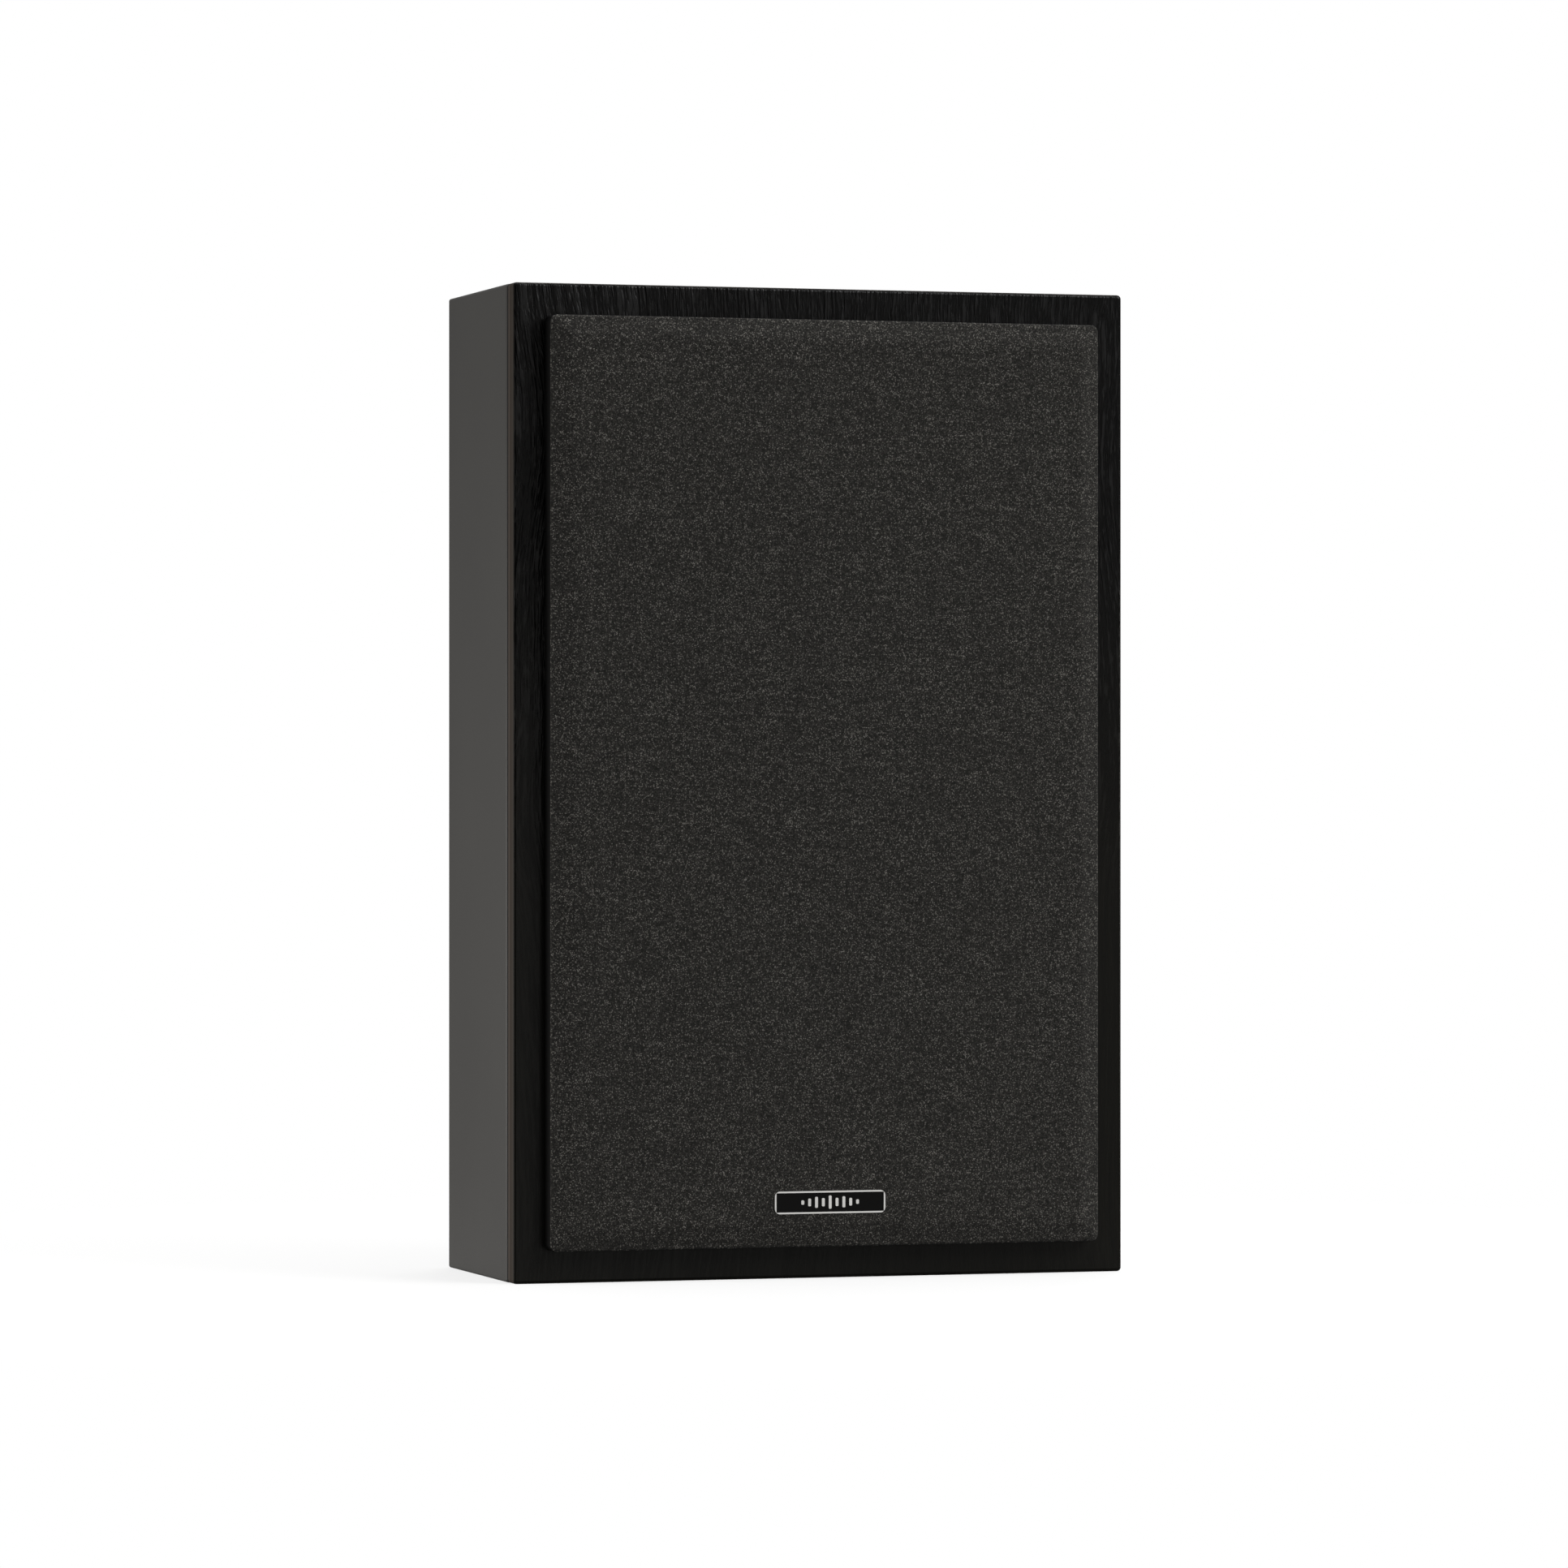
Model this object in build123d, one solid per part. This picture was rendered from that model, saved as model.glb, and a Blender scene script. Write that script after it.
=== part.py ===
from build123d import *
import os
from math import asin, cos, pi, radians, sin, tan

# A slim two-way bookshelf speaker. Millimetres, +Z up, the front faces -Y and the
# origin is the middle of the whole speaker's footprint on the shelf.
# "Depth" always means the distance behind the front face of the baffle, so a
# negative depth stands in front of it. Outlines that are turned are lists of
# (radius, depth), and flat outlines are drawn as (x, z).

# ---------------------------------------------------------------- driving dimensions
WIDTH = 232.0
HEIGHT = 360.0
CABINET_DEPTH = 93.0
WALL = 12.0
CORNER_R = 1.0
PANEL_CHAMFER = 0.5

BAFFLE_T = 18.0
BAFFLE_LIP = 8.5
SHADOW_GAP = 1.5
SHADOW_INSET = 3.0
BAFFLE_EDGE_R = 1.2
BAFFLE_CORNER_R = 1.5

GRILLE_MARGIN = 11.8
GRILLE_CORNER_R = 2.6
GRILLE_AIR = 0.3
SKIRT_H = 7.0
CLOTH_H = 9.8
CLOTH_T = 0.6
CLOTH_EDGE_H = 7.3
CLOTH_EDGE_INSET = 0.5
BEVEL_W = 7.8
FRAME_BAR = 16.0
CROSSBAR_Z = 199.0
CROSSBAR_W = 14.0
BADGE_T = 0.8
BADGE_W = 42.0
BADGE_H = 8.2
BADGE_Z = 28.15
BADGE_RIM = 0.6
BADGE_FIELD = 0.3
BAR_HEIGHTS = (1.6, 2.8, 4.0, 3.0, 4.8, 3.0, 4.0, 2.8, 1.6)
BAR_PITCH = 2.6
BAR_W = 1.1
BAR_T = 0.2

MAGNET_R = 5.0
MAGNET_T = 3.0
MAGNET_SKIN = 1.5
MAGNET_X = WIDTH / 2 - GRILLE_MARGIN - FRAME_BAR / 2
MAGNET_Z = (40.0, 320.0)

BUMPER_T = 2.0
BUMPER_R = 7.0
BUMPER_X = 92.0
BUMPER_Z = (26.0, 334.0)

WOOFER_Z = 112.0
WOOFER_R = 76.0
WOOFER_SEAT = 5.0
WOOFER_HOLE_R = 64.5
WOOFER_SCREWS = 6
WOOFER_SCREW_CIRCLE = 71.6
WOOFER_COIL_R = 13.0
WOOFER_TOP_PLATE = 40.0
WOOFER_MAGNET_FRONT = 44.5
WOOFER_MAGNET_BACK = 58.5
TWEETER_Z = 262.0
TWEETER_R = 52.0
TWEETER_SEAT = 4.0
TWEETER_HOLE_R = 37.5
TWEETER_SCREWS = 4
TWEETER_SCREW_CIRCLE = 48.0
TWEETER_COIL_R = 12.5
TWEETER_TOP_PLATE = 10.5
TWEETER_MAGNET_FRONT = 14.0
TWEETER_MAGNET_BACK = 23.0
SEAT_AIR = 0.3

BRACE_Z = 190.0
BRACE_T = 12.0

CUP_Z = 46.0
CUP_W = 65.0
CUP_H = 40.0
CUP_WALL = 2.0
CUP_FLOOR_DEPTH = 68.0
FLANGE_W = 84.0
FLANGE_H = 56.0
FLANGE_T = 2.0
GASKET_T = 1.0
POST_PITCH = 19.0
POST_R = 3.0
BANANA_R = 2.0
BANANA_LENGTH = 14.0
POST_END_DEPTH = 89.0
NUT_R = 5.77
NUT_T = 4.0
TAG_T = 0.8
WASHER_R = 6.0
WASHER_FRONT = 71.3
WASHER_BACK = 72.5
KNOB_R = 6.9
KNOB_FRONT = 72.8
KNOB_BACK = 88.0
KNOB_FLUTES = 16
THREAD_AIR = 0.06

KEYHOLE_X = 70.0
KEYHOLE_Z = 318.0
KEYHOLE_R = 5.0
KEYHOLE_SLOT = 5.0
KEYHOLE_RISE = 11.0
BRACKET_T = 1.5
BRACKET_W = 24.0
BRACKET_H = 46.0

BOARD_Z = 265.0
BOARD_W = 110.0
BOARD_H = 80.0
BOARD_T = 1.6
STANDOFF_H = 8.0

# ---------------------------------------------------------------- worked-out places
TOTAL_DEPTH = CLOTH_H + BADGE_T + CABINET_DEPTH + BUMPER_T
FRONT_Y = -TOTAL_DEPTH / 2 + CLOTH_H + BADGE_T
GRILLE_W = WIDTH - 2 * GRILLE_MARGIN
GRILLE_H = HEIGHT - 2 * GRILLE_MARGIN
INNER_W = WIDTH - 2 * WALL
INNER_H = HEIGHT - 2 * WALL
PANEL_FRONT = BAFFLE_LIP + SHADOW_GAP
REAR_FRONT = CABINET_DEPTH - WALL
MID_Z = HEIGHT / 2
BRACKET_Z = KEYHOLE_Z + 5.0
BOARD_BACK = REAR_FRONT - STANDOFF_H
BOARD_FRONT = BOARD_BACK - BOARD_T

os.makedirs("parts", exist_ok=True)


# ---------------------------------------------------------------- helpers
def slab(sketch, depth_from, depth_to):
    """A sketch drawn in (x, z), extruded from one depth to a deeper one."""
    solid = extrude(Plane.XZ * sketch, -(depth_to - depth_from))
    return Pos(0, FRONT_Y + depth_from, 0) * solid


def turned(outline, x=0.0, z=0.0):
    """An outline of straight lines, turned about a front-to-back axis."""
    face = make_face(Polyline(*outline, close=True))
    return Pos(x, FRONT_Y, z) * revolve(face, Axis.Y)


def ring(r_in, r_out, depth_from, depth_to, x=0.0, z=0.0):
    """A plain ring, or a disc where r_in is 0."""
    corners = [(r_in, depth_from), (r_out, depth_from), (r_out, depth_to), (r_in, depth_to)]
    return turned(corners, x, z)


def cap_arc(rim_r, rim_depth, rise):
    """An arc centred on the axis, from a rim up to its crown at the front."""
    ball_r = (rim_r**2 + rise**2) / (2 * rise)
    centre = rim_depth - rise + ball_r
    half = asin(rim_r / ball_r) / 2
    middle = (ball_r * sin(half), centre - ball_r * cos(half))
    return ThreePointArc((rim_r, rim_depth), middle, (0, rim_depth - rise))


def turned_lines(lines, x=0.0, z=0.0):
    """An outline of lines and arcs, turned about a front-to-back axis."""
    edges = [edge for line in lines for edge in line.edges()]
    return Pos(x, FRONT_Y, z) * revolve(make_face(edges), Axis.Y)


def block(x_from, x_to, depth_from, depth_to, z_from, z_to):
    """A box given by its limits."""
    size = (x_to - x_from, depth_to - depth_from, z_to - z_from)
    middle = ((x_from + x_to) / 2, FRONT_Y + (depth_from + depth_to) / 2, (z_from + z_to) / 2)
    return Pos(*middle) * Box(*size)


def round_the_axis(solid, count, z, first=0.0, x=0.0):
    """Copies of a solid, evenly spaced about a front-to-back axis."""
    axis = Axis((x, 0, z), (0, 1, 0))
    return [solid.rotate(axis, first + 360.0 / count * i) for i in range(count)]


def circle_places(radius, count, z, first):
    """Centres (x, z) evenly spaced on a circle about (0, z)."""
    turns = [radians(first + 360.0 / count * i) for i in range(count)]
    return [(radius * cos(t), z + radius * sin(t)) for t in turns]


def countersunk_screw(x, z, depth, head_r, shank_r, length):
    """A cross-head wood screw whose head is flush with the given depth."""
    head_h = head_r - shank_r
    outline = [
        (0, depth),
        (head_r, depth),
        (head_r, depth + 0.3),
        (shank_r, depth + 0.3 + head_h),
        (shank_r, depth + length - 3.0),
        (0.2, depth + length),
        (0, depth + length),
    ]
    screw = turned(outline, x, z)
    slot = head_r * 1.1
    width = head_r * 0.26
    screw -= block(x - slot / 2, x + slot / 2, depth - 1, depth + 1.1, z - width / 2, z + width / 2)
    screw -= block(x - width / 2, x + width / 2, depth - 1, depth + 1.1, z - slot / 2, z + slot / 2)
    return screw


def countersunk_hole(x, z, depth, head_r, shank_r, through):
    """The hole for that screw, a hair larger all round."""
    air = 0.08
    outline = [
        (0, depth - 1),
        (head_r + air, depth - 1),
        (head_r + air, depth + 0.3 + air),
        (shank_r + air, depth + 0.3 + air + head_r - shank_r),
        (shank_r + air, through),
        (0, through),
    ]
    return turned(outline, x, z)


def wire_path(points):
    """Straight runs joined by tangent arcs, each arc as large as its runs allow."""
    radii = []
    for before, corner, after in zip(points, points[1:], points[2:]):
        run_in = Vector(*corner) - Vector(*before)
        run_out = Vector(*after) - Vector(*corner)
        half_turn = radians(run_in.get_angle(run_out)) / 2
        radii.append(0.45 * min(run_in.length, run_out.length) / tan(half_turn))
    print("wire radii", [round(r, 1) for r in radii])
    return FilletPolyline(*points, radius=radii)


def wire(route, radius):
    """A round wire along a route of (x, depth, z) points."""
    points = [(x, FRONT_Y + depth, z) for x, depth, z in route]
    path = wire_path(points)
    section = Plane(path @ 0, z_dir=path % 0) * Circle(radius)
    solid = sweep(section, path=path)
    print("wire length", round(path.length, 1), "volume over section times length",
          round(solid.volume / (pi * radius**2 * path.length), 4))
    return solid


def save(name, *solids):
    """Write one sub-part; several solids are pieces of the same kind."""
    shape = solids[0] if len(solids) == 1 else Compound(children=list(solids))
    export_step(shape, f"parts/{name}.step")


# ---------------------------------------------------------------- screw places
WOOFER_PLACES = circle_places(WOOFER_SCREW_CIRCLE, WOOFER_SCREWS, WOOFER_Z, 30.0)
TWEETER_PLACES = circle_places(TWEETER_SCREW_CIRCLE, TWEETER_SCREWS, TWEETER_Z, 45.0)
SCREW_DEPTH = 0.2
DRIVER_SCREW_HEAD = 3.4
DRIVER_SCREW_R = 1.7
DRIVER_SCREW_LENGTH = 16.0

CUP_SCREWS = [(sx * 37.5, CUP_Z + sz * 23.5) for sx in (-1, 1) for sz in (-1, 1)]
BRACKET_SCREWS = [(sx * KEYHOLE_X, KEYHOLE_Z + dz) for sx in (-1, 1) for dz in (-13.0, 23.0)]
SMALL_SCREW_HEAD = 2.7
BRACKET_SCREW_HEAD = 2.1
SMALL_SCREW_R = 1.4
SMALL_SCREW_LENGTH = 10.0

BOARD_PLACES = [(sx * 49.0, BOARD_Z + sz * 34.0) for sx in (-1, 1) for sz in (-1, 1)]
PILOT_AIR = 0.05


# ---------------------------------------------------------------- cabinet
def front_baffle():
    """One MDF board: a full-size front slab, a narrower neck that leaves the shadow
    gap, and a back part that plugs into the four panels."""
    face = Pos(0, MID_Z) * RectangleRounded(WIDTH, HEIGHT, BAFFLE_CORNER_R)
    front = slab(face, 0, BAFFLE_LIP)
    front = fillet(front.faces().sort_by(Axis.Y)[0].edges(), BAFFLE_EDGE_R)
    neck_face = Pos(0, MID_Z) * Rectangle(WIDTH - 2 * SHADOW_INSET, HEIGHT - 2 * SHADOW_INSET)
    neck = slab(neck_face, BAFFLE_LIP, PANEL_FRONT)
    plug = slab(Pos(0, MID_Z) * Rectangle(INNER_W, INNER_H), PANEL_FRONT, BAFFLE_T)
    board = front + neck + plug
    board -= ring(0, WOOFER_R + SEAT_AIR, -1, WOOFER_SEAT, z=WOOFER_Z)
    board -= ring(0, WOOFER_HOLE_R, WOOFER_SEAT - 1, BAFFLE_T + 1, z=WOOFER_Z)
    board -= ring(0, TWEETER_R + SEAT_AIR, -1, TWEETER_SEAT, z=TWEETER_Z)
    board -= ring(0, TWEETER_HOLE_R, TWEETER_SEAT - 1, BAFFLE_T + 1, z=TWEETER_Z)
    for x, z in WOOFER_PLACES + TWEETER_PLACES:
        board -= ring(0, DRIVER_SCREW_R + PILOT_AIR, 3.0, DRIVER_SCREW_LENGTH + 0.5, x, z)
    for x in (-MAGNET_X, MAGNET_X):
        for z in MAGNET_Z:
            board -= ring(0, MAGNET_R + PILOT_AIR, MAGNET_SKIN, BAFFLE_T + 1, x, z)
    return board


def cabinet_panels():
    """The wrap: one rectangular tube cut along its four mitres."""
    outside = Pos(0, MID_Z) * RectangleRounded(WIDTH, HEIGHT, CORNER_R)
    inside = Pos(0, MID_Z) * Rectangle(INNER_W, INNER_H)
    tube = slab(outside - inside, PANEL_FRONT, CABINET_DEPTH)
    ends = tube.faces().sort_by(Axis.Y)
    rims = ends[0].outer_wire().edges() + ends[-1].outer_wire().edges()
    tube = chamfer(rims, PANEL_CHAMFER)
    past = 10.0
    left = -WIDTH / 2 - past
    wedge = Polyline((left, -past), (past, WIDTH / 2 + past), (past, HEIGHT - WIDTH / 2 - past),
                     (left, HEIGHT + past), close=True)
    left_wedge = slab(make_face(wedge), 0, CABINET_DEPTH + 1)
    right_wedge = left_wedge.mirror(Plane.YZ)
    middle = tube - left_wedge - right_wedge
    pieces = middle.solids().sort_by(Axis.Z)
    return {
        "side_panel_left": tube & left_wedge,
        "side_panel_right": tube & right_wedge,
        "bottom_panel": pieces[0],
        "top_panel": pieces[-1],
    }


def keyhole_sketch(x, extra):
    """The keyhole outline: a round entry with a narrower slot above it."""
    entry = Pos(x, KEYHOLE_Z) * Circle(KEYHOLE_R + extra)
    slot = Pos(x, KEYHOLE_Z + KEYHOLE_RISE / 2) * Rectangle(KEYHOLE_SLOT + 2 * extra, KEYHOLE_RISE)
    end = Pos(x, KEYHOLE_Z + KEYHOLE_RISE) * Circle(KEYHOLE_SLOT / 2 + extra)
    return entry + slot + end


def bracket_outline(x):
    return Pos(x, BRACKET_Z) * RectangleRounded(BRACKET_W, BRACKET_H, 3.0)


def rear_panel():
    """The inset back board, with seats for the terminal cup and the two brackets."""
    board = slab(Pos(0, MID_Z) * Rectangle(INNER_W, INNER_H), REAR_FRONT, CABINET_DEPTH)
    seat = Pos(0, CUP_Z) * RectangleRounded(FLANGE_W + 0.6, FLANGE_H + 0.6, 6.3)
    board -= slab(seat, CABINET_DEPTH - FLANGE_T - GASKET_T, CABINET_DEPTH + 1)
    opening = Pos(0, CUP_Z) * RectangleRounded(CUP_W + 1.0, CUP_H + 1.0, 4.5)
    board -= slab(opening, REAR_FRONT - 1, CABINET_DEPTH)
    for x, z in CUP_SCREWS:
        board -= ring(0, SMALL_SCREW_R + PILOT_AIR, REAR_FRONT + 0.5, CABINET_DEPTH, x, z)
    for x in (-KEYHOLE_X, KEYHOLE_X):
        rebate = Pos(x, BRACKET_Z) * RectangleRounded(BRACKET_W + 0.4, BRACKET_H + 0.4, 3.2)
        board -= slab(rebate, CABINET_DEPTH - BRACKET_T, CABINET_DEPTH + 1)
        pocket = Pos(x, BRACKET_Z) * RectangleRounded(14.0, 25.0, 6.0)
        board -= slab(pocket, CABINET_DEPTH - BRACKET_T - 7.0, CABINET_DEPTH)
    for x, z in BRACKET_SCREWS:
        board -= ring(0, SMALL_SCREW_R + PILOT_AIR, REAR_FRONT + 0.5, CABINET_DEPTH, x, z)
    for x, z in BOARD_PLACES:
        board -= ring(0, 1.5 + PILOT_AIR, REAR_FRONT - 1, REAR_FRONT + 7.5, x, z)
    return board


def window_brace():
    """A cross board between the two drivers, with two windows for air and wires."""
    depth_mid = (BAFFLE_T + REAR_FRONT) / 2
    board = block(-INNER_W / 2, INNER_W / 2, BAFFLE_T, REAR_FRONT, BRACE_Z, BRACE_Z + BRACE_T)
    window = extrude(RectangleRounded(76.0, 43.0, 8.0), BRACE_T + 2)
    for x in (-50.0, 50.0):
        board -= Pos(x, FRONT_Y + depth_mid, BRACE_Z - 1) * window
    return board


def wadding():
    """A plain soft block behind the woofer, against the rear panel."""
    return block(-96.0, 96.0, 70.8, REAR_FRONT - 0.2, 78.0, 184.0)


# ---------------------------------------------------------------- grille
def grille_rect(inset, radius):
    """The grille's outline in (x, z), pulled in by an inset."""
    return Pos(0, MID_Z) * RectangleRounded(GRILLE_W - 2 * inset, GRILLE_H - 2 * inset, radius)


def raised(inset, radius, height):
    """That outline as a face standing a given height in front of the baffle."""
    return Pos(0, FRONT_Y - height, 0) * (Plane.XZ * grille_rect(inset, radius))


def frame_bevel():
    """The frame's bevelled front, which the cloth is stretched over."""
    return loft([raised(0.8, 2.0, SKIRT_H), raised(BEVEL_W, 2.0, CLOTH_H - CLOTH_T)])


def grille_frame():
    """A moulded frame: plain skirt, bevelled front, two windows and a crossbar."""
    frame = slab(grille_rect(0, GRILLE_CORNER_R), -SKIRT_H, -GRILLE_AIR) + frame_bevel()
    half_w = GRILLE_W / 2 - FRAME_BAR
    low = GRILLE_MARGIN + FRAME_BAR
    high = HEIGHT - low
    spans = [(low, CROSSBAR_Z - CROSSBAR_W / 2), (CROSSBAR_Z + CROSSBAR_W / 2, high)]
    for z_from, z_to in spans:
        window = Pos(0, (z_from + z_to) / 2) * RectangleRounded(2 * half_w, z_to - z_from, 6.0)
        frame -= slab(window, -CLOTH_H - 1, 1)
    frame -= block(-half_w, half_w, -CLOTH_H, -SKIRT_H - 0.5, low, high)
    for x in (-MAGNET_X, MAGNET_X):
        for z in MAGNET_Z:
            frame -= ring(0, MAGNET_R + PILOT_AIR, -GRILLE_AIR - MAGNET_T, 0, x, z)
    return frame


def grille_cloth():
    """The cloth as a thin closed shell over the frame's bevel and windows."""
    edge = slab(grille_rect(CLOTH_EDGE_INSET, 2.2), -CLOTH_EDGE_H, -SKIRT_H)
    top = loft([raised(CLOTH_EDGE_INSET, 2.2, CLOTH_EDGE_H), raised(BEVEL_W, 2.0, CLOTH_H)])
    return edge + top - frame_bevel()


def badge_plate():
    """A nameplate with a raised rim round a shallow field."""
    outline = Pos(0, BADGE_Z) * RectangleRounded(BADGE_W, BADGE_H, 2.0)
    field = Pos(0, BADGE_Z) * RectangleRounded(BADGE_W - 2 * BADGE_RIM, BADGE_H - 2 * BADGE_RIM, 1.4)
    plate = slab(outline, -CLOTH_H - BADGE_T, -CLOTH_H)
    return plate - slab(field, -CLOTH_H - BADGE_T - 1, -CLOTH_H - BADGE_T + BADGE_FIELD)


def badge_motif():
    """Upright bars of different heights, a plain level-meter pattern."""
    floor = -CLOTH_H - BADGE_T + BADGE_FIELD
    first = -BAR_PITCH * (len(BAR_HEIGHTS) - 1) / 2
    bars = []
    for i, height in enumerate(BAR_HEIGHTS):
        outline = Pos(first + BAR_PITCH * i, BADGE_Z) * RectangleRounded(BAR_W, height, 0.4)
        bars.append(slab(outline, floor - BAR_T, floor))
    return bars


def magnets(depth):
    """The four discs of one set, with their front faces at a depth."""
    return [ring(0, MAGNET_R, depth, depth + MAGNET_T, x, z)
            for x in (-MAGNET_X, MAGNET_X) for z in MAGNET_Z]


# ---------------------------------------------------------------- woofer
def woofer_basket():
    """A stamped frame: flat flange, sloping legs, spider shelf and motor seat."""
    outline = [
        (76.0, 0.0), (76.0, 4.0), (63.8, 4.0), (62.6, 9.0), (45.5, 29.5), (38.5, 29.5),
        (38.5, 40.0), (24.0, 40.0), (24.0, 38.0), (36.3, 38.0), (36.3, 27.5), (43.5, 27.5),
        (60.6, 7.0), (61.6, 2.6), (67.0, 2.6), (67.0, 0.0),
    ]
    basket = turned(outline, z=WOOFER_Z)
    half_angle = radians(13.5)
    reach = 90.0
    corner = (reach * cos(half_angle), reach * sin(half_angle))
    sector = make_face(Polyline((0, 0), corner, (corner[0], -corner[1]), close=True))
    wedge = slab(sector, 9.5, 27.0)
    gap = Pos(0, 0, WOOFER_Z) * (wedge & ring(40.0, 75.0, 9.0, 28.0))
    for window in round_the_axis(gap, 8, WOOFER_Z, 22.5):
        basket -= window
    basket += block(-9.0, 9.0, 30.5, 39.0, WOOFER_Z + 36.8, WOOFER_Z + 40.0)
    for x, z in WOOFER_PLACES:
        basket -= countersunk_hole(x, z, SCREW_DEPTH, DRIVER_SCREW_HEAD, DRIVER_SCREW_R, 5.0)
    return basket


def driver_screws(places):
    """The wood screws that hold a driver's flange, heads a little below its front."""
    return [countersunk_screw(x, z, SCREW_DEPTH, DRIVER_SCREW_HEAD, DRIVER_SCREW_R, DRIVER_SCREW_LENGTH)
            for x, z in places]


def woofer_gasket():
    """A foam ring between the basket's flange and the baffle."""
    foam = ring(65.0, 75.8, 4.0, 5.0, z=WOOFER_Z)
    for x, z in WOOFER_PLACES:
        foam -= ring(0, DRIVER_SCREW_R + 0.3, 3.0, 6.0, x, z)
    return foam


def woofer_cone():
    """A thin curved cone with a flat lip for the surround."""
    lines = [
        ThreePointArc((50.0, 2.6), (30.5, 12.0), (13.0, 24.0)),
        Line((13.0, 24.0), (13.0, 25.0)),
        ThreePointArc((13.0, 25.0), (31.1, 12.7), (50.2, 3.3)),
        Polyline((50.2, 3.3), (53.0, 3.3), (53.0, 2.6), (50.0, 2.6)),
    ]
    return turned_lines(lines, z=WOOFER_Z)


def woofer_surround():
    """A half-roll rubber surround, glued to the cone's lip and the basket."""
    flat, under, mid = 2.0, 2.6, 57.5
    big, small = 4.5, 3.9
    lines = [
        Polyline((49.6, under), (49.6, flat), (mid - big, flat)),
        ThreePointArc((mid - big, flat), (mid, flat - big), (mid + big, flat)),
        Polyline((mid + big, flat), (66.8, flat), (66.8, under), (mid + small, under), (mid + small, flat)),
        ThreePointArc((mid + small, flat), (mid, flat - small), (mid - small, flat)),
        Polyline((mid - small, flat), (mid - small, under), (49.6, under)),
    ]
    return turned_lines(lines, z=WOOFER_Z)


def woofer_dust_cap():
    """A shallow domed cap glued on the cone."""
    rim, base, rise, thick = 20.0, 18.7, 5.0, 0.6
    lines = [
        cap_arc(rim, base, rise),
        Line((0, base - rise), (0, base - rise + thick)),
        cap_arc(rim - 0.9, base, rise - thick),
        Line((rim - 0.9, base), (rim, base)),
    ]
    return turned_lines(lines, z=WOOFER_Z)


def woofer_spider():
    """The corrugated cloth disc that centres the voice coil."""
    thick, level, wave, first, step, count = 0.5, 27.0, 1.1, 15.5, 2.8, 7
    inner, outer = WOOFER_COIL_R, 43.2
    upper = [Line((inner, level), (first, level))]
    lower = [Line((inner, level + thick), (first, level + thick))]
    for i in range(count):
        start = first + step * i
        crest = level + (wave if i % 2 else -wave)
        ends = [(start, level), (start + step / 2, crest), (start + step, level)]
        upper.append(ThreePointArc(*ends))
        lower.append(ThreePointArc(*[(r, d + thick) for r, d in ends]))
    last = first + step * count
    upper.append(Line((last, level), (outer, level)))
    lower.append(Line((last, level + thick), (outer, level + thick)))
    caps = [Line((inner, level), (inner, level + thick)), Line((outer, level), (outer, level + thick))]
    return turned_lines(upper + lower + caps, z=WOOFER_Z)


def woofer_motor():
    """Top plate, ferrite ring and the yoke with its vented pole."""
    front, back = WOOFER_MAGNET_FRONT, WOOFER_MAGNET_BACK
    pole_r = WOOFER_COIL_R - 0.8
    plate = ring(WOOFER_COIL_R + 1.5, 38.0, WOOFER_TOP_PLATE, front, z=WOOFER_Z)
    magnet = ring(19.0, 40.0, front, back, z=WOOFER_Z)
    yoke = turned([(4.0, WOOFER_TOP_PLATE + 0.5), (pole_r, WOOFER_TOP_PLATE + 0.5), (pole_r, back),
                   (38.0, back), (38.0, back + 3.0), (36.0, back + 5.0), (4.0, back + 5.0)], z=WOOFER_Z)
    return {"woofer_top_plate": plate, "woofer_magnet": magnet, "woofer_yoke": yoke}


def woofer_terminals():
    """A small insulating board with two blades standing up from it."""
    base_z = WOOFER_Z + 40.0
    board = block(-8.5, 8.5, 31.0, 38.5, base_z, base_z + 1.6)
    blades = []
    for x in (-5.0, 5.0):
        blade = block(x - 2.4, x + 2.4, 34.4, 35.2, base_z + 1.6, base_z + 10.0)
        foot = block(x - 2.4, x + 2.4, 32.0, 35.2, base_z + 1.6, base_z + 2.4)
        blades.append(blade + foot)
    return [board] + blades


# ---------------------------------------------------------------- tweeter
def tweeter_faceplate():
    """A round plate with a shallow flared waveguide and a seat for the mesh."""
    lines = [
        ThreePointArc((18.3, 6.8), (28.0, 2.3), (44.0, 0.0)),
        Polyline((44.0, 0.0), (52.0, 0.0), (52.0, 4.0), (36.0, 4.0), (36.0, 10.5), (20.0, 10.5),
                 (20.0, 9.9), (16.6, 9.9), (16.6, 7.5), (18.3, 7.5), (18.3, 6.8)),
    ]
    plate = turned_lines(lines, z=TWEETER_Z)
    for x, z in TWEETER_PLACES:
        plate -= countersunk_hole(x, z, SCREW_DEPTH, DRIVER_SCREW_HEAD, DRIVER_SCREW_R, 5.0)
    return plate


def tweeter_mesh():
    """A domed, perforated steel guard in front of the diaphragm."""
    lines = [
        cap_arc(16.4, 7.0, 4.7),
        Line((0, 2.3), (0, 2.8)),
        cap_arc(16.2, 7.5, 4.7),
        Polyline((16.2, 7.5), (18.2, 7.5), (18.2, 7.0), (16.4, 7.0)),
    ]
    guard = turned_lines(lines, z=TWEETER_Z)
    pitch = 3.3
    holes = Sketch()
    for row in range(-5, 6):
        for column in range(-5, 6):
            x = (column + row / 2) * pitch
            z = row * pitch * sin(pi / 3)
            if x * x + z * z < 14.6**2:
                holes += Pos(x, TWEETER_Z + z) * Circle(1.15)
    return guard - slab(holes, 1.0, 9.0)


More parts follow.
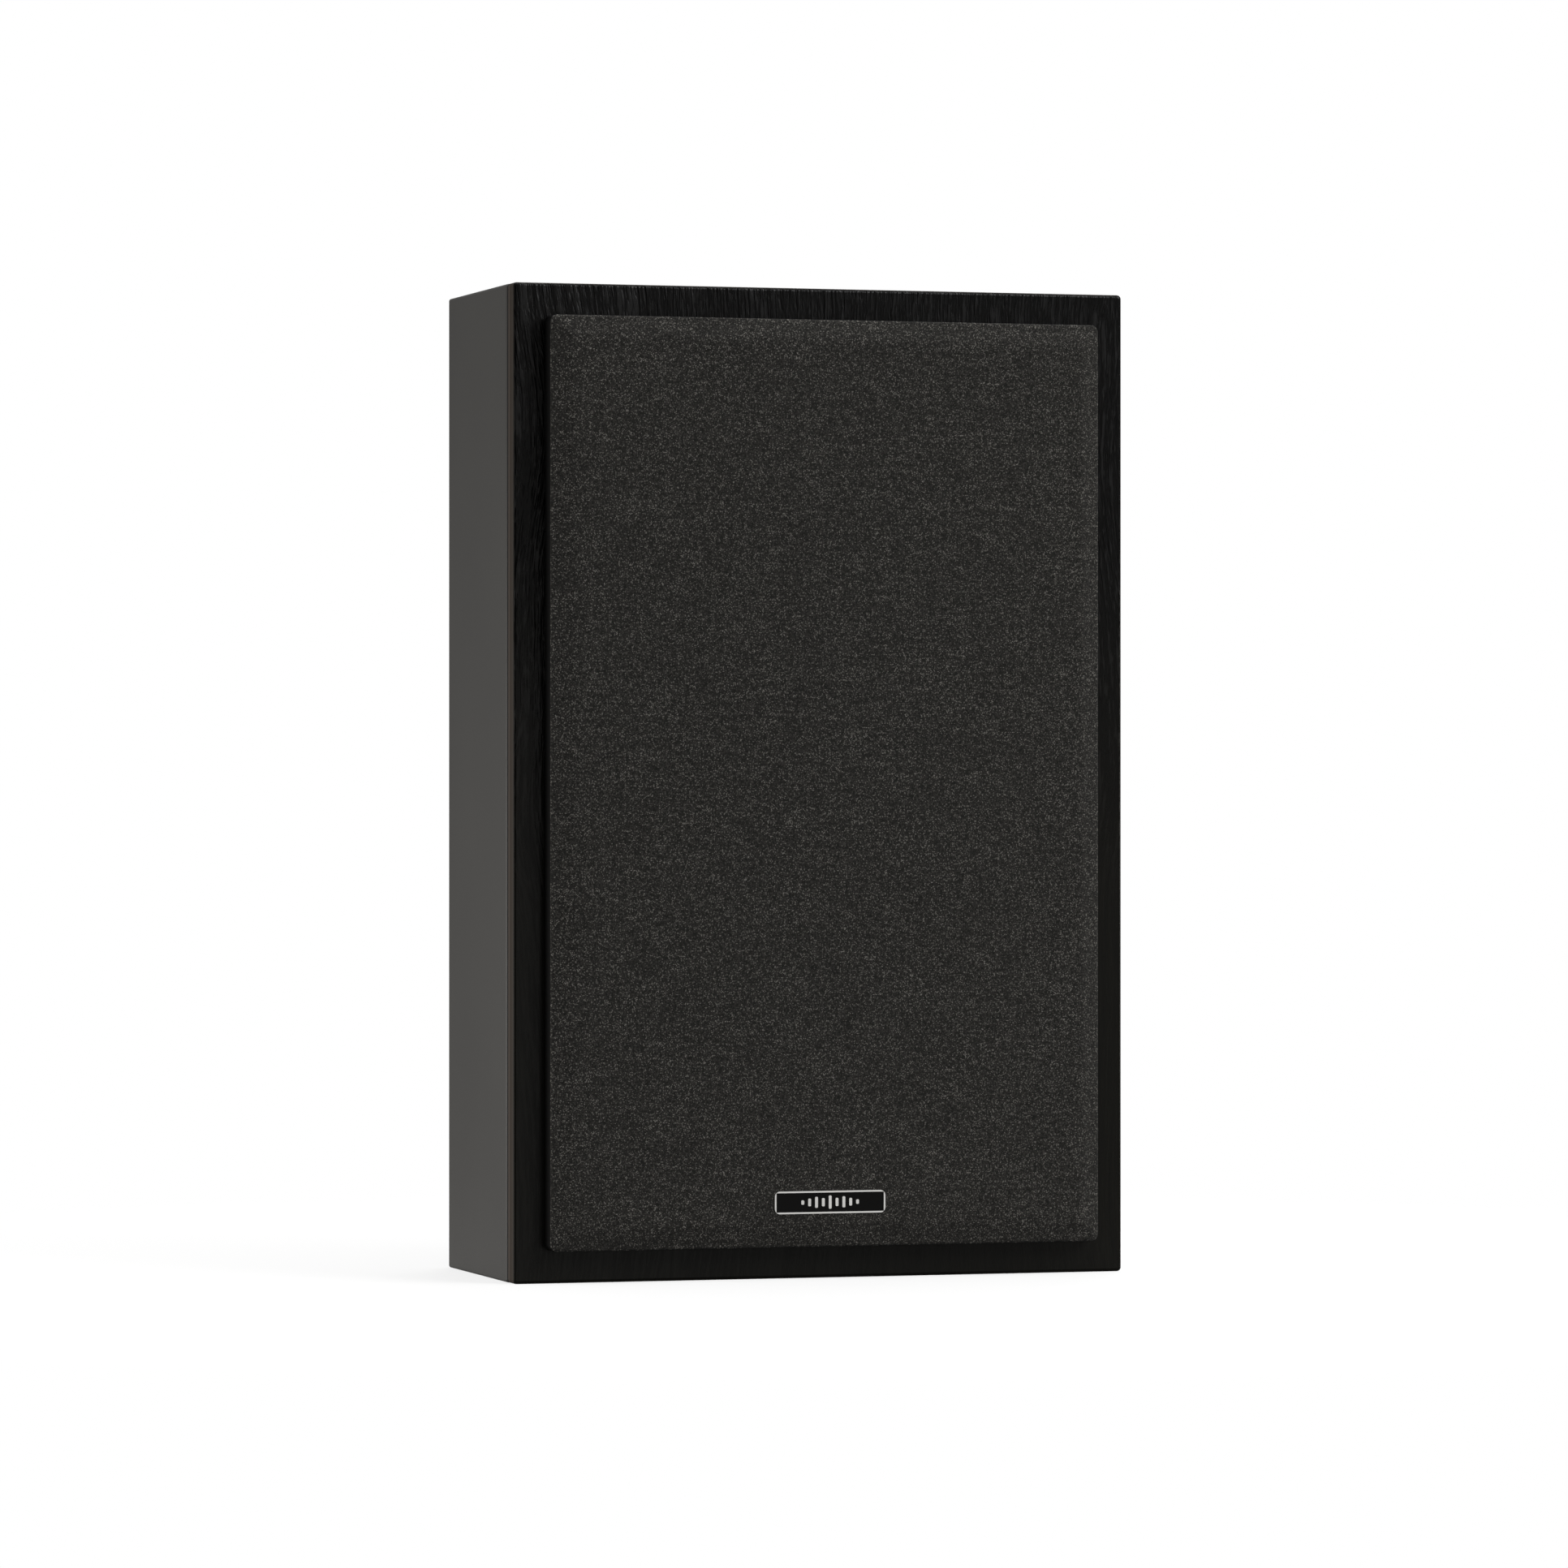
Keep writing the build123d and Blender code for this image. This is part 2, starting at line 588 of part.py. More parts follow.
def tweeter_dome():
    """A thin dome with a short rim that the voice coil is glued to."""
    lines = [
        cap_arc(12.75, 10.1, 3.6),
        Line((0, 6.5), (0, 6.8)),
        cap_arc(12.35, 10.5, 3.7),
        Polyline((12.35, 10.5), (12.75, 10.5), (12.75, 10.1)),
    ]
    return turned_lines(lines, z=TWEETER_Z)


def tweeter_surround():
    """A small half-roll between the dome and the clamped outer flange."""
    mid, big, small, flat, under = 14.6, 1.6, 1.3, 10.15, 10.5
    lines = [
        Polyline((12.8, under), (12.8, flat), (mid - big, flat)),
        ThreePointArc((mid - big, flat), (mid, flat - big), (mid + big, flat)),
        Polyline((mid + big, flat), (19.5, flat), (19.5, under), (mid + small, under), (mid + small, flat)),
        ThreePointArc((mid + small, flat), (mid, flat - small), (mid - small, flat)),
        Polyline((mid - small, flat), (mid - small, under), (12.8, under)),
    ]
    return turned_lines(lines, z=TWEETER_Z)


def tweeter_motor():
    """Top plate, magnet, yoke and the damped rear chamber."""
    front, back = TWEETER_MAGNET_FRONT, TWEETER_MAGNET_BACK
    pole_r = TWEETER_COIL_R - 0.4
    yoke_back = back + 4.0
    plate = ring(TWEETER_COIL_R + 1.2, 30.0, TWEETER_TOP_PLATE, front, z=TWEETER_Z)
    magnet = ring(17.0, 30.0, front, back, z=TWEETER_Z)
    yoke = turned([(3.0, 11.2), (pole_r, 11.2), (pole_r, back), (29.0, back), (29.0, yoke_back),
                   (3.0, yoke_back)], z=TWEETER_Z)
    cup = turned([(0, 43.0), (24.0, 43.0), (26.0, 41.0), (26.0, yoke_back), (24.4, yoke_back),
                  (24.4, 40.4), (23.4, 41.4), (0, 41.4)], z=TWEETER_Z)
    return {"tweeter_top_plate": plate, "tweeter_magnet": magnet, "tweeter_yoke": yoke,
            "tweeter_rear_cup": cup}


def tweeter_terminals():
    """Two blades that stand back from the faceplate, beside the magnet."""
    blades = []
    for x in (-33.2, 33.2):
        foot = block(x - 2.0, x + 2.0, 10.5, 11.3, TWEETER_Z - 2.4, TWEETER_Z + 2.4)
        blade = block(x - 0.4, x + 0.4, 10.5, 20.0, TWEETER_Z - 2.4, TWEETER_Z + 2.4)
        blades.append(foot + blade)
    return blades


# ---------------------------------------------------------------- crossover
def crossover_board():
    board = slab(Pos(0, BOARD_Z) * RectangleRounded(BOARD_W, BOARD_H, 3.0), BOARD_FRONT, BOARD_BACK)
    for x, z in BOARD_PLACES:
        board -= ring(0, 1.65, BOARD_FRONT - 1, BOARD_BACK + 1, x, z)
    return board


def crossover_coils():
    """Two air-cored chokes standing on the board."""
    large = ring(7.0, 17.0, BOARD_FRONT - 14.0, BOARD_FRONT, -30.0, BOARD_Z - 14.0)
    small = ring(5.0, 12.0, BOARD_FRONT - 12.0, BOARD_FRONT, -30.0, BOARD_Z + 22.0)
    return [large, small]


def axial_capacitor(x, z, radius, length):
    """A can lying along X with one lead bent down to the board at each end."""
    axis_depth = BOARD_FRONT - radius - 0.5
    can = Pos(x, FRONT_Y + axis_depth, z) * (Rot(0, 90, 0) * Cylinder(radius, length))
    can = fillet(can.edges().filter_by(GeomType.CIRCLE), 0.8)
    lead_r = 0.45
    for side in (-1, 1):
        lead_x = x + side * (length / 2 + 2.0)
        can += block(min(x, lead_x + side * lead_r), max(x, lead_x + side * lead_r), axis_depth - lead_r,
                     axis_depth + lead_r, z - lead_r, z + lead_r)
        can += block(lead_x - lead_r, lead_x + lead_r, axis_depth - lead_r, BOARD_FRONT,
                     z - lead_r, z + lead_r)
    return can


def crossover_resistors():
    """Two white cement blocks flat on the board."""
    blocks = []
    for z in (BOARD_Z - 26.0, BOARD_Z - 12.0):
        body = block(8.0, 32.0, BOARD_FRONT - 9.0, BOARD_FRONT, z - 4.8, z + 4.8)
        blocks.append(chamfer(body.edges().filter_by(Axis.Y), 0.8))
    return blocks


def crossover_fixings():
    """Plastic pillars behind the board and the screws that go through them."""
    pillars = [ring(1.55, 3.6, BOARD_BACK, REAR_FRONT, x, z) for x, z in BOARD_PLACES]
    screws = []
    for x, z in BOARD_PLACES:
        head = ring(0, 2.8, BOARD_FRONT - 2.0, BOARD_FRONT, x, z)
        head = fillet(head.faces().sort_by(Axis.Y)[0].edges(), 0.9)
        screw = head + ring(0, 1.5, BOARD_FRONT, REAR_FRONT + 6.5, x, z)
        for angle in (0, 90):
            slot = block(x - 1.6, x + 1.6, BOARD_FRONT - 3, BOARD_FRONT - 1.0, z - 0.4, z + 0.4)
            screw -= slot.rotate(Axis((x, 0, z), (0, 1, 0)), angle)
        screws.append(screw)
    return pillars, screws


# ---------------------------------------------------------------- terminals
def terminal_cup():
    """A moulded recess with a flange, closed by a floor that carries the posts."""
    flange_face = Pos(0, CUP_Z) * RectangleRounded(FLANGE_W, FLANGE_H, 6.0)
    cup = slab(flange_face, CABINET_DEPTH - FLANGE_T, CABINET_DEPTH)
    outside = Pos(0, CUP_Z) * RectangleRounded(CUP_W, CUP_H, 4.0)
    cup += slab(outside, CUP_FLOOR_DEPTH - CUP_WALL, CABINET_DEPTH - FLANGE_T)
    inside = Pos(0, CUP_Z) * RectangleRounded(CUP_W - 2 * CUP_WALL, CUP_H - 2 * CUP_WALL, 2.5)
    cup -= slab(inside, CUP_FLOOR_DEPTH, CABINET_DEPTH + 1)
    mouth = cup.faces().sort_by(Axis.Y)[-1]
    cup = chamfer(mouth.inner_wires()[0].edges(), 0.8)
    for x in (-POST_PITCH / 2, POST_PITCH / 2):
        cup -= ring(0, POST_R + 0.1, CUP_FLOOR_DEPTH - 5, CUP_FLOOR_DEPTH + 1, x, CUP_Z)
    for x, z in CUP_SCREWS:
        hole = countersunk_hole(x, z, SCREW_DEPTH, SMALL_SCREW_HEAD, SMALL_SCREW_R, 5.0)
        cup -= turn_to_back(hole, x, z)
    return cup


def turn_to_back(solid, x, z):
    """Turn a solid drawn from the front so that it enters from the back face."""
    flipped = solid.rotate(Axis((x, FRONT_Y, z), (0, 0, 1)), 180)
    return Pos(0, CABINET_DEPTH, 0) * flipped


def small_screws(places):
    screws = []
    for x, z in places:
        screw = countersunk_screw(x, z, SCREW_DEPTH, SMALL_SCREW_HEAD, SMALL_SCREW_R, SMALL_SCREW_LENGTH)
        screws.append(turn_to_back(screw, x, z))
    return screws


def terminal_gasket():
    """A thin foam frame under the cup's flange."""
    outer = Pos(0, CUP_Z) * RectangleRounded(FLANGE_W, FLANGE_H, 6.0)
    inner = Pos(0, CUP_Z) * RectangleRounded(CUP_W + 1.0, CUP_H + 1.0, 4.5)
    foam = slab(outer - inner, CABINET_DEPTH - FLANGE_T - GASKET_T, CABINET_DEPTH - FLANGE_T)
    for x, z in CUP_SCREWS:
        foam -= ring(0, SMALL_SCREW_R + 0.3, REAR_FRONT, CABINET_DEPTH, x, z)
    return foam


def binding_post(x):
    """The metal rod: inner thread end, shoulder, and a bore for a banana plug."""
    end = POST_END_DEPTH
    outline = [
        (0, 57.0), (2.5, 57.0), (POST_R, 57.5), (POST_R, CUP_FLOOR_DEPTH), (5.8, CUP_FLOOR_DEPTH),
        (5.8, 70.6), (5.4, 71.0), (POST_R, 71.0), (POST_R, end - 0.4), (POST_R - 0.4, end),
        (BANANA_R, end), (BANANA_R, end - BANANA_LENGTH), (0, end - BANANA_LENGTH - 1.2),
    ]
    return turned(outline, x, CUP_Z)


def post_nut(x):
    """A hexagon nut against the inside of the cup's floor and its solder tag."""
    floor = CUP_FLOOR_DEPTH - CUP_WALL
    hexagon = Pos(x, CUP_Z) * (RegularPolygon(NUT_R, 6) - Circle(POST_R + PILOT_AIR))
    return slab(hexagon, floor - TAG_T - NUT_T, floor - TAG_T)


def post_tag(x):
    """A ring tag under the nut, with a tongue for the wire."""
    floor = CUP_FLOOR_DEPTH - CUP_WALL
    side = 1 if x > 0 else -1
    eye = Pos(x, CUP_Z) * Circle(5.5)
    tongue = Pos(x + side * 9.0, CUP_Z) * RectangleRounded(14.0, 5.0, 1.0)
    hole = Pos(x, CUP_Z) * Circle(POST_R + 0.1)
    return slab(eye + tongue - hole, floor - TAG_T, floor)


def clamp_washer(x):
    """The loose metal washer that the knob presses on a bare wire."""
    return ring(POST_R + THREAD_AIR, WASHER_R, WASHER_FRONT, WASHER_BACK, x, CUP_Z)


def post_knob(x):
    """A fluted knob that screws along the post."""
    bore = POST_R + THREAD_AIR
    outline = [
        (bore, KNOB_FRONT), (KNOB_R - 0.7, KNOB_FRONT), (KNOB_R, KNOB_FRONT + 0.7),
        (KNOB_R, KNOB_BACK - 3.0), (KNOB_R - 1.5, KNOB_BACK), (bore, KNOB_BACK),
    ]
    knob = turned(outline, x, CUP_Z)
    flute = ring(0, 0.8, KNOB_FRONT + 1.7, KNOB_BACK + 2.0, x + KNOB_R + 0.3, CUP_Z)
    for groove in round_the_axis(flute, KNOB_FLUTES, CUP_Z, 0.0, x):
        knob -= groove
    return knob


# ---------------------------------------------------------------- rear fittings
def keyhole_bracket(x):
    plate = slab(bracket_outline(x) - keyhole_sketch(x, 0.0), CABINET_DEPTH - BRACKET_T, CABINET_DEPTH)
    for screw_x, screw_z in BRACKET_SCREWS:
        if screw_x == x:
            hole = countersunk_hole(x, screw_z, 0.0, BRACKET_SCREW_HEAD, SMALL_SCREW_R, 5.0)
            plate -= turn_to_back(hole, x, screw_z)
    return plate


def bracket_screw(x, z):
    screw = countersunk_screw(x, z, 0.0, BRACKET_SCREW_HEAD, SMALL_SCREW_R, SMALL_SCREW_LENGTH)
    return turn_to_back(screw, x, z)


def wall_bumper(x, z):
    pad = ring(0, BUMPER_R, CABINET_DEPTH, CABINET_DEPTH + BUMPER_T, x, z)
    return fillet(pad.faces().sort_by(Axis.Y)[-1].edges(), 0.8)


# ---------------------------------------------------------------- wiring
WIRE_R = 1.3
CLIP_X = 62.0
CLIP_DEPTH = 60.0
# Each route runs from one solder point to another, as (x, depth, z). Only the red
# side is listed: the black wires run on the other side of the cabinet.
INPUT_ROUTE = [
    (-24.0, 65.2, 46.0), (-24.0, 54.0, 46.0), (-33.0, 46.0, 52.0), (-50.0, 46.0, 66.0),
    (-60.0, 52.0, 96.0), (-62.5, 59.0, 140.0), (-CLIP_X, CLIP_DEPTH, 184.0),
    (-CLIP_X, CLIP_DEPTH - 0.5, 212.0), (-57.0, 54.0, 230.0), (-51.0, 57.0, 243.0),
    (-51.0, BOARD_FRONT, 243.0),
]
WOOFER_ROUTE = [
    (-5.0, 35.2, 158.0), (-5.0, 44.0, 158.0), (-8.0, 50.0, 167.0), (-20.0, 51.0, 182.0),
    (-24.0, 52.0, 204.0), (-16.0, 54.0, 222.0), (-6.0, 61.0, 229.0), (-6.0, BOARD_FRONT, 229.0),
]
TWEETER_ROUTE = [
    (-33.2, 20.0, 262.0), (-33.2, 30.0, 262.0), (-40.0, 38.0, 269.0), (-48.0, 48.0, 284.0),
    (-50.0, 60.0, 290.0), (-50.0, BOARD_FRONT, 290.0),
]


def mirrored(route):
    return [(-x, depth, z) for x, depth, z in route]


def cable_clip(side):
    """A saddle on the edge of the brace's window that holds the input wire."""
    x = side * CLIP_X
    low, high = BRACE_Z + 3.0, BRACE_Z + 9.0
    saddle = block(x - 3.4, x + 3.4, CLIP_DEPTH - 3.4, 71.0, low, high)
    eye = Pos(x, FRONT_Y + CLIP_DEPTH, (low + high) / 2) * Cylinder(WIRE_R + 0.7, high - low + 2)
    return saddle - eye


# ---------------------------------------------------------------- build everything
save("front_baffle", front_baffle())
for name, panel in cabinet_panels().items():
    save(name, panel)
save("rear_panel", rear_panel())
save("window_brace", window_brace())
save("wadding", wadding())

save("grille_frame", grille_frame())
save("grille_cloth", grille_cloth())
save("badge_plate", badge_plate())
save("badge_motif", *badge_motif())
save("grille_magnets", *magnets(-GRILLE_AIR - MAGNET_T))
save("baffle_magnets", *magnets(MAGNET_SKIN))

save("woofer_basket", woofer_basket())
save("woofer_gasket", woofer_gasket())
save("woofer_cone", woofer_cone())
save("woofer_surround", woofer_surround())
save("woofer_dust_cap", woofer_dust_cap())
save("woofer_spider", woofer_spider())
save("woofer_coil_former", ring(WOOFER_COIL_R - 0.25, WOOFER_COIL_R, 22.0, 47.5, z=WOOFER_Z))
save("woofer_voice_coil", ring(WOOFER_COIL_R, WOOFER_COIL_R + 0.9, 37.5, 47.0, z=WOOFER_Z))
for name, piece in woofer_motor().items():
    save(name, piece)
save("woofer_terminals", *woofer_terminals())
save("woofer_screws", *driver_screws(WOOFER_PLACES))

save("tweeter_faceplate", tweeter_faceplate())
save("tweeter_mesh", tweeter_mesh())
save("tweeter_dome", tweeter_dome())
save("tweeter_surround", tweeter_surround())
save("tweeter_voice_coil", ring(TWEETER_COIL_R, TWEETER_COIL_R + 0.7, 10.5, 15.5, z=TWEETER_Z))
for name, piece in tweeter_motor().items():
    save(name, piece)
save("tweeter_terminals", *tweeter_terminals())
save("tweeter_screws", *driver_screws(TWEETER_PLACES))

save("crossover_board", crossover_board())
save("crossover_coils", *crossover_coils())
save("crossover_capacitors", axial_capacitor(24.0, BOARD_Z + 26.0, 8.0, 30.0),
     axial_capacitor(24.0, BOARD_Z + 8.0, 6.0, 24.0))
save("crossover_resistors", *crossover_resistors())
pillars, board_screws = crossover_fixings()
save("crossover_pillars", *pillars)
save("crossover_screws", *board_screws)

save("terminal_cup", terminal_cup())
save("terminal_gasket", terminal_gasket())
save("terminal_screws", *small_screws(CUP_SCREWS))
POST_X = (-POST_PITCH / 2, POST_PITCH / 2)
save("binding_posts", *[binding_post(x) for x in POST_X])
save("post_nuts", *[post_nut(x) for x in POST_X])
save("post_tags", *[post_tag(x) for x in POST_X])
for colour, x in zip(("red", "black"), POST_X):
    save(f"clamp_washer_{colour}", clamp_washer(x))
    save(f"post_knob_{colour}", post_knob(x))

save("keyhole_brackets", *[keyhole_bracket(x) for x in (-KEYHOLE_X, KEYHOLE_X)])
save("keyhole_screws", *[bracket_screw(x, z) for x, z in BRACKET_SCREWS])
save("wall_bumpers", *[wall_bumper(x, z) for x in (-BUMPER_X, BUMPER_X) for z in BUMPER_Z])

ROUTES = (INPUT_ROUTE, WOOFER_ROUTE, TWEETER_ROUTE)
save("wires_red", *[wire(route, WIRE_R) for route in ROUTES])
save("wires_black", *[wire(mirrored(route), WIRE_R) for route in ROUTES])
save("cable_clips", *[cable_clip(side) for side in (-1, 1)])
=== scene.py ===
import math

import bmesh
import bpy
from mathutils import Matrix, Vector, noise


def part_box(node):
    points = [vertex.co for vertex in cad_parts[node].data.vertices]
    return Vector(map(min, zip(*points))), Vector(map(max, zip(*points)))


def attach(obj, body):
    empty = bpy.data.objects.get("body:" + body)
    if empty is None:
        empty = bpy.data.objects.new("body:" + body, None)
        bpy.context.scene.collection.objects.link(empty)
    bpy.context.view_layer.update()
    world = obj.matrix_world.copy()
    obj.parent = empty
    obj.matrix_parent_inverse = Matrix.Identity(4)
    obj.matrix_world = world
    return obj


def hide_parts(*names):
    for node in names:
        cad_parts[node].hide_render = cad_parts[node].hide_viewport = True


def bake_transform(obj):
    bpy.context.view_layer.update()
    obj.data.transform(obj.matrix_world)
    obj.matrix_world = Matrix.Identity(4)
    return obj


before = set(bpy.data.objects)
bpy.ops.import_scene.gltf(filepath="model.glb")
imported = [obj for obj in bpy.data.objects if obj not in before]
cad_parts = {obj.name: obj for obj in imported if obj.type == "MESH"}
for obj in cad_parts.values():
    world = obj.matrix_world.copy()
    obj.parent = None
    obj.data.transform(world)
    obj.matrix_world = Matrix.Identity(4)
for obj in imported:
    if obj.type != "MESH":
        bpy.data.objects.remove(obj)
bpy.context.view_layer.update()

MM = 0.001

# ---------------------------------------------------------------- places, from the CAD parts
BAFFLE_LOW, BAFFLE_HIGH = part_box("front_baffle")
FRONT_Y = BAFFLE_LOW.y
HALF_W = BAFFLE_HIGH.x
HEIGHT = BAFFLE_HIGH.z
CLOTH_LOW, CLOTH_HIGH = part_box("grille_cloth")
PLATE_LOW, PLATE_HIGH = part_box("badge_plate")


def centre_of(node):
    low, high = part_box(node)
    return (low + high) / 2


WOOFER = centre_of("woofer_cone")
TWEETER = centre_of("tweeter_dome")


# ---------------------------------------------------------------- camera
def add_camera():
    """Level with the middle of the cabinet, a little to its left, through a long lens."""
    yaw = math.radians(17.151)
    to_the_left = 0.767
    distance = 2.439
    below_middle = 0.3 * MM
    data = bpy.data.cameras.new("camera")
    data.lens = 161.3
    data.sensor_width = 36.0
    data.clip_start = 0.05
    data.clip_end = 60.0
    camera = bpy.data.objects.new("camera", data)
    bpy.context.scene.collection.objects.link(camera)
    camera.location = (-to_the_left, FRONT_Y - distance, HEIGHT / 2 - below_middle)
    camera.rotation_euler = (math.pi / 2, 0, -yaw)
    bpy.context.scene.camera = camera


add_camera()


# ---------------------------------------------------------------- materials: node shorthand
class Surface:
    """A Principled node material under construction. Lengths are in metres."""

    def __init__(self, name, roughness=0.5, metallic=0.0, specular=0.5):
        self.material = bpy.data.materials.new(name)
        self.material.use_nodes = True
        self.tree = self.material.node_tree
        self.shader = self.tree.nodes["Principled BSDF"]
        self.set("Roughness", roughness)
        self.set("Metallic", metallic)
        self.set("Specular IOR Level", specular)
        self.place = self.node("ShaderNodeTexCoord").outputs["Object"]

    def node(self, kind, **settings):
        made = self.tree.nodes.new(kind)
        for name, value in settings.items():
            setattr(made, name, value)
        return made

    def feed(self, socket, value):
        """Link an output to a socket, or set a plain value on it."""
        if isinstance(value, bpy.types.NodeSocket):
            self.tree.links.new(value, socket)
        else:
            socket.default_value = value

    def set(self, name, value):
        self.feed(self.shader.inputs[name], value)
        return self

    def stretched(self, x, y, z, vector=None):
        """The object's own coordinates, or another vector, multiplied along each axis."""
        mapping = self.node("ShaderNodeMapping")
        self.feed(mapping.inputs["Vector"], self.place if vector is None else vector)
        mapping.inputs["Scale"].default_value = (x, y, z)
        return mapping.outputs["Vector"]

    def math(self, operation, a, b=0.0):
        made = self.node("ShaderNodeMath", operation=operation)
        self.feed(made.inputs[0], a)
        self.feed(made.inputs[1], b)
        return made.outputs[0]

    def weighted(self, *terms):
        """The sum of (value, weight) terms."""
        total = None
        for value, weight in terms:
            term = self.math("MULTIPLY", value, weight)
            total = term if total is None else self.math("ADD", total, term)
        return total

    def distance(self, a, b):
        """The length of the hypotenuse over two sides."""
        return self.math("SQRT", self.math("ADD", self.math("MULTIPLY", a, a), self.math("MULTIPLY", b, b)))

    def off_centre(self, value, middle):
        """How far a value is from a middle one, to either side."""
        return self.math("ABSOLUTE", self.math("SUBTRACT", value, middle))

    def wave(self, value):
        """A row of equal humps, one for each whole number."""
        return self.math("ABSOLUTE", self.math("SINE", self.math("MULTIPLY", value, math.pi)))

    def axes(self):
        """The object's own x, y and z."""
        made = self.node("ShaderNodeSeparateXYZ")
        self.feed(made.inputs[0], self.place)
        return made.outputs

    def noise(self, vector, scale=1.0, detail=2.0, roughness=0.5, distortion=0.0):
        made = self.node("ShaderNodeTexNoise")
        self.feed(made.inputs["Vector"], vector)
        made.inputs["Scale"].default_value = scale
        made.inputs["Detail"].default_value = detail
        made.inputs["Roughness"].default_value = roughness
        made.inputs["Distortion"].default_value = distortion
        return made.outputs["Fac"]

    def ramp(self, factor, stops):
        """A ramp whose stops are (position, grey or colour)."""
        made = self.node("ShaderNodeValToRGB")
        self.feed(made.inputs[0], factor)
        elements = made.color_ramp.elements
        while len(elements) < len(stops):
            elements.new(0.5)
        for element, (position, tone) in zip(elements, stops):
            element.position = position
            element.color = (*tone, 1) if isinstance(tone, tuple) else (tone, tone, tone, 1)
        return made.outputs["Color"]

    def blend(self, factor, a, b):
        """Two colours mixed."""
        made = self.node("ShaderNodeMix", data_type="RGBA")
        self.feed(made.inputs["Factor"], factor)
        for socket, value in ((made.inputs["A"], a), (made.inputs["B"], b)):
            self.feed(socket, (*value, 1) if isinstance(value, tuple) else value)
        return made.outputs["Result"]

    def between(self, value, low, high):
        """A value from 0 to 1 as it goes from low to high, and no further."""
        made = self.node("ShaderNodeMapRange", clamp=True)
        self.feed(made.inputs["Value"], value)
        made.inputs["From Min"].default_value = low
        made.inputs["From Max"].default_value = high
        return made.outputs["Result"]

    def scaled(self, value, low, high):
        """A 0 to 1 value spread from low to high."""
        made = self.node("ShaderNodeMapRange")
        self.feed(made.inputs["Value"], value)
        made.inputs["To Min"].default_value = low
        made.inputs["To Max"].default_value = high
        return made.outputs["Result"]

    def bump(self, height, depth, strength=1.0):
        made = self.node("ShaderNodeBump")
        made.inputs["Strength"].default_value = strength
        made.inputs["Distance"].default_value = depth
        self.feed(made.inputs["Height"], height)
        return made.outputs["Normal"]

    def paint(self, colour):
        return self.set("Base Color", (*colour, 1) if isinstance(colour, tuple) else colour)

    def relief(self, normal):
        return self.set("Normal", normal)


def toned(colour, share):
    return tuple(channel * share for channel in colour)


def mottled(name, colour, roughness, metallic=0.0, specular=0.5, grain=900.0, depth=0.02):
    """A moulded, painted or plated surface: fine texture, depth mm high, uneven tone and gloss."""
    s = Surface(name, roughness, metallic, specular)
    broad = s.noise(s.place, 18.0, 3.0, 0.6)
    fine = s.noise(s.place, grain, 2.0, 0.6)
    spread = 0.12
    dark = toned(colour, 1 - spread)
    light = toned(colour, 1 + spread)
    s.paint(s.ramp(broad, [(0.3, dark), (0.7, light)]))
    s.set("Roughness", s.scaled(fine, roughness * 0.85, min(1.0, roughness * 1.15)))
    s.relief(s.bump(fine, depth * MM))
    return s


def brushed(name, colour, roughness):
    """Metal with fine upright scratches."""
    s = Surface(name, roughness, metallic=1.0)
    scratches = s.noise(s.stretched(2500.0, 2500.0, 50.0), detail=3.0, roughness=0.7)
    broad = s.noise(s.place, 25.0)
    s.paint(s.ramp(broad, [(0.3, toned(colour, 0.88)), (0.7, colour)]))
    s.set("Roughness", s.scaled(scratches, roughness * 0.7, min(1.0, roughness * 1.3)))
    s.relief(s.bump(scratches, 0.01 * MM, 0.6))
    return s


def turned_metal(name, colour, roughness, centre, pitch, depth=0.006):
    """Metal with fine rings, depth mm high, about a front-to-back axis through a centre."""
    s = Surface(name, roughness, metallic=1.0)
    x, _, z = s.axes()
    radius = s.distance(s.math("SUBTRACT", x, centre.x), s.math("SUBTRACT", z, centre.z))
    rings = s.math("SINE", s.math("MULTIPLY", radius, 2 * math.pi / pitch))
    broad = s.noise(s.place, 30.0)
    s.paint(s.ramp(broad, [(0.3, toned(colour, 0.9)), (0.7, colour)]))
    s.set("Roughness", s.scaled(s.noise(s.place, 400.0), roughness * 0.85, roughness * 1.15))
    s.relief(s.bump(rings, depth * MM))
    return s


# ---------------------------------------------------------------- materials: the cabinet
def oak_grain(s):
    """Upright grain as a 0 to 1 value: long and short lines, which sway sideways together."""
    sway = s.node("ShaderNodeVectorMath", operation="MULTIPLY_ADD")
    s.feed(sway.inputs[0], s.noise(s.stretched(7.0, 7.0, 8.0), detail=1.0))
    sway.inputs[1].default_value = (0.035, 0.0, 0.0)
    s.feed(sway.inputs[2], s.place)

    def streaks(across, along, detail):
        swayed = s.stretched(across, across, along, sway.outputs[0])
        return s.noise(swayed, detail=detail, roughness=0.55, distortion=0.3)

    long_lines = streaks(800.0, 30.0, 2.0)
    short_lines = streaks(1250.0, 170.0, 1.0)
    broad = s.noise(s.stretched(90.0, 90.0, 12.0), detail=1.0)
    return s.weighted((long_lines, 0.50), (short_lines, 0.34), (broad, 0.16))


def slab_rim(s, x, z):
    """1 on the four sides of the front slab, 0 on its face."""
    inner, outer = 0.5 * MM, 0.3 * MM
    side = s.between(s.math("ABSOLUTE", x), HALF_W - inner, HALF_W - outer)
    end = s.between(s.off_centre(z, HEIGHT / 2), HEIGHT / 2 - inner, HEIGHT / 2 - outer)
    return s.math("MAXIMUM", side, end)


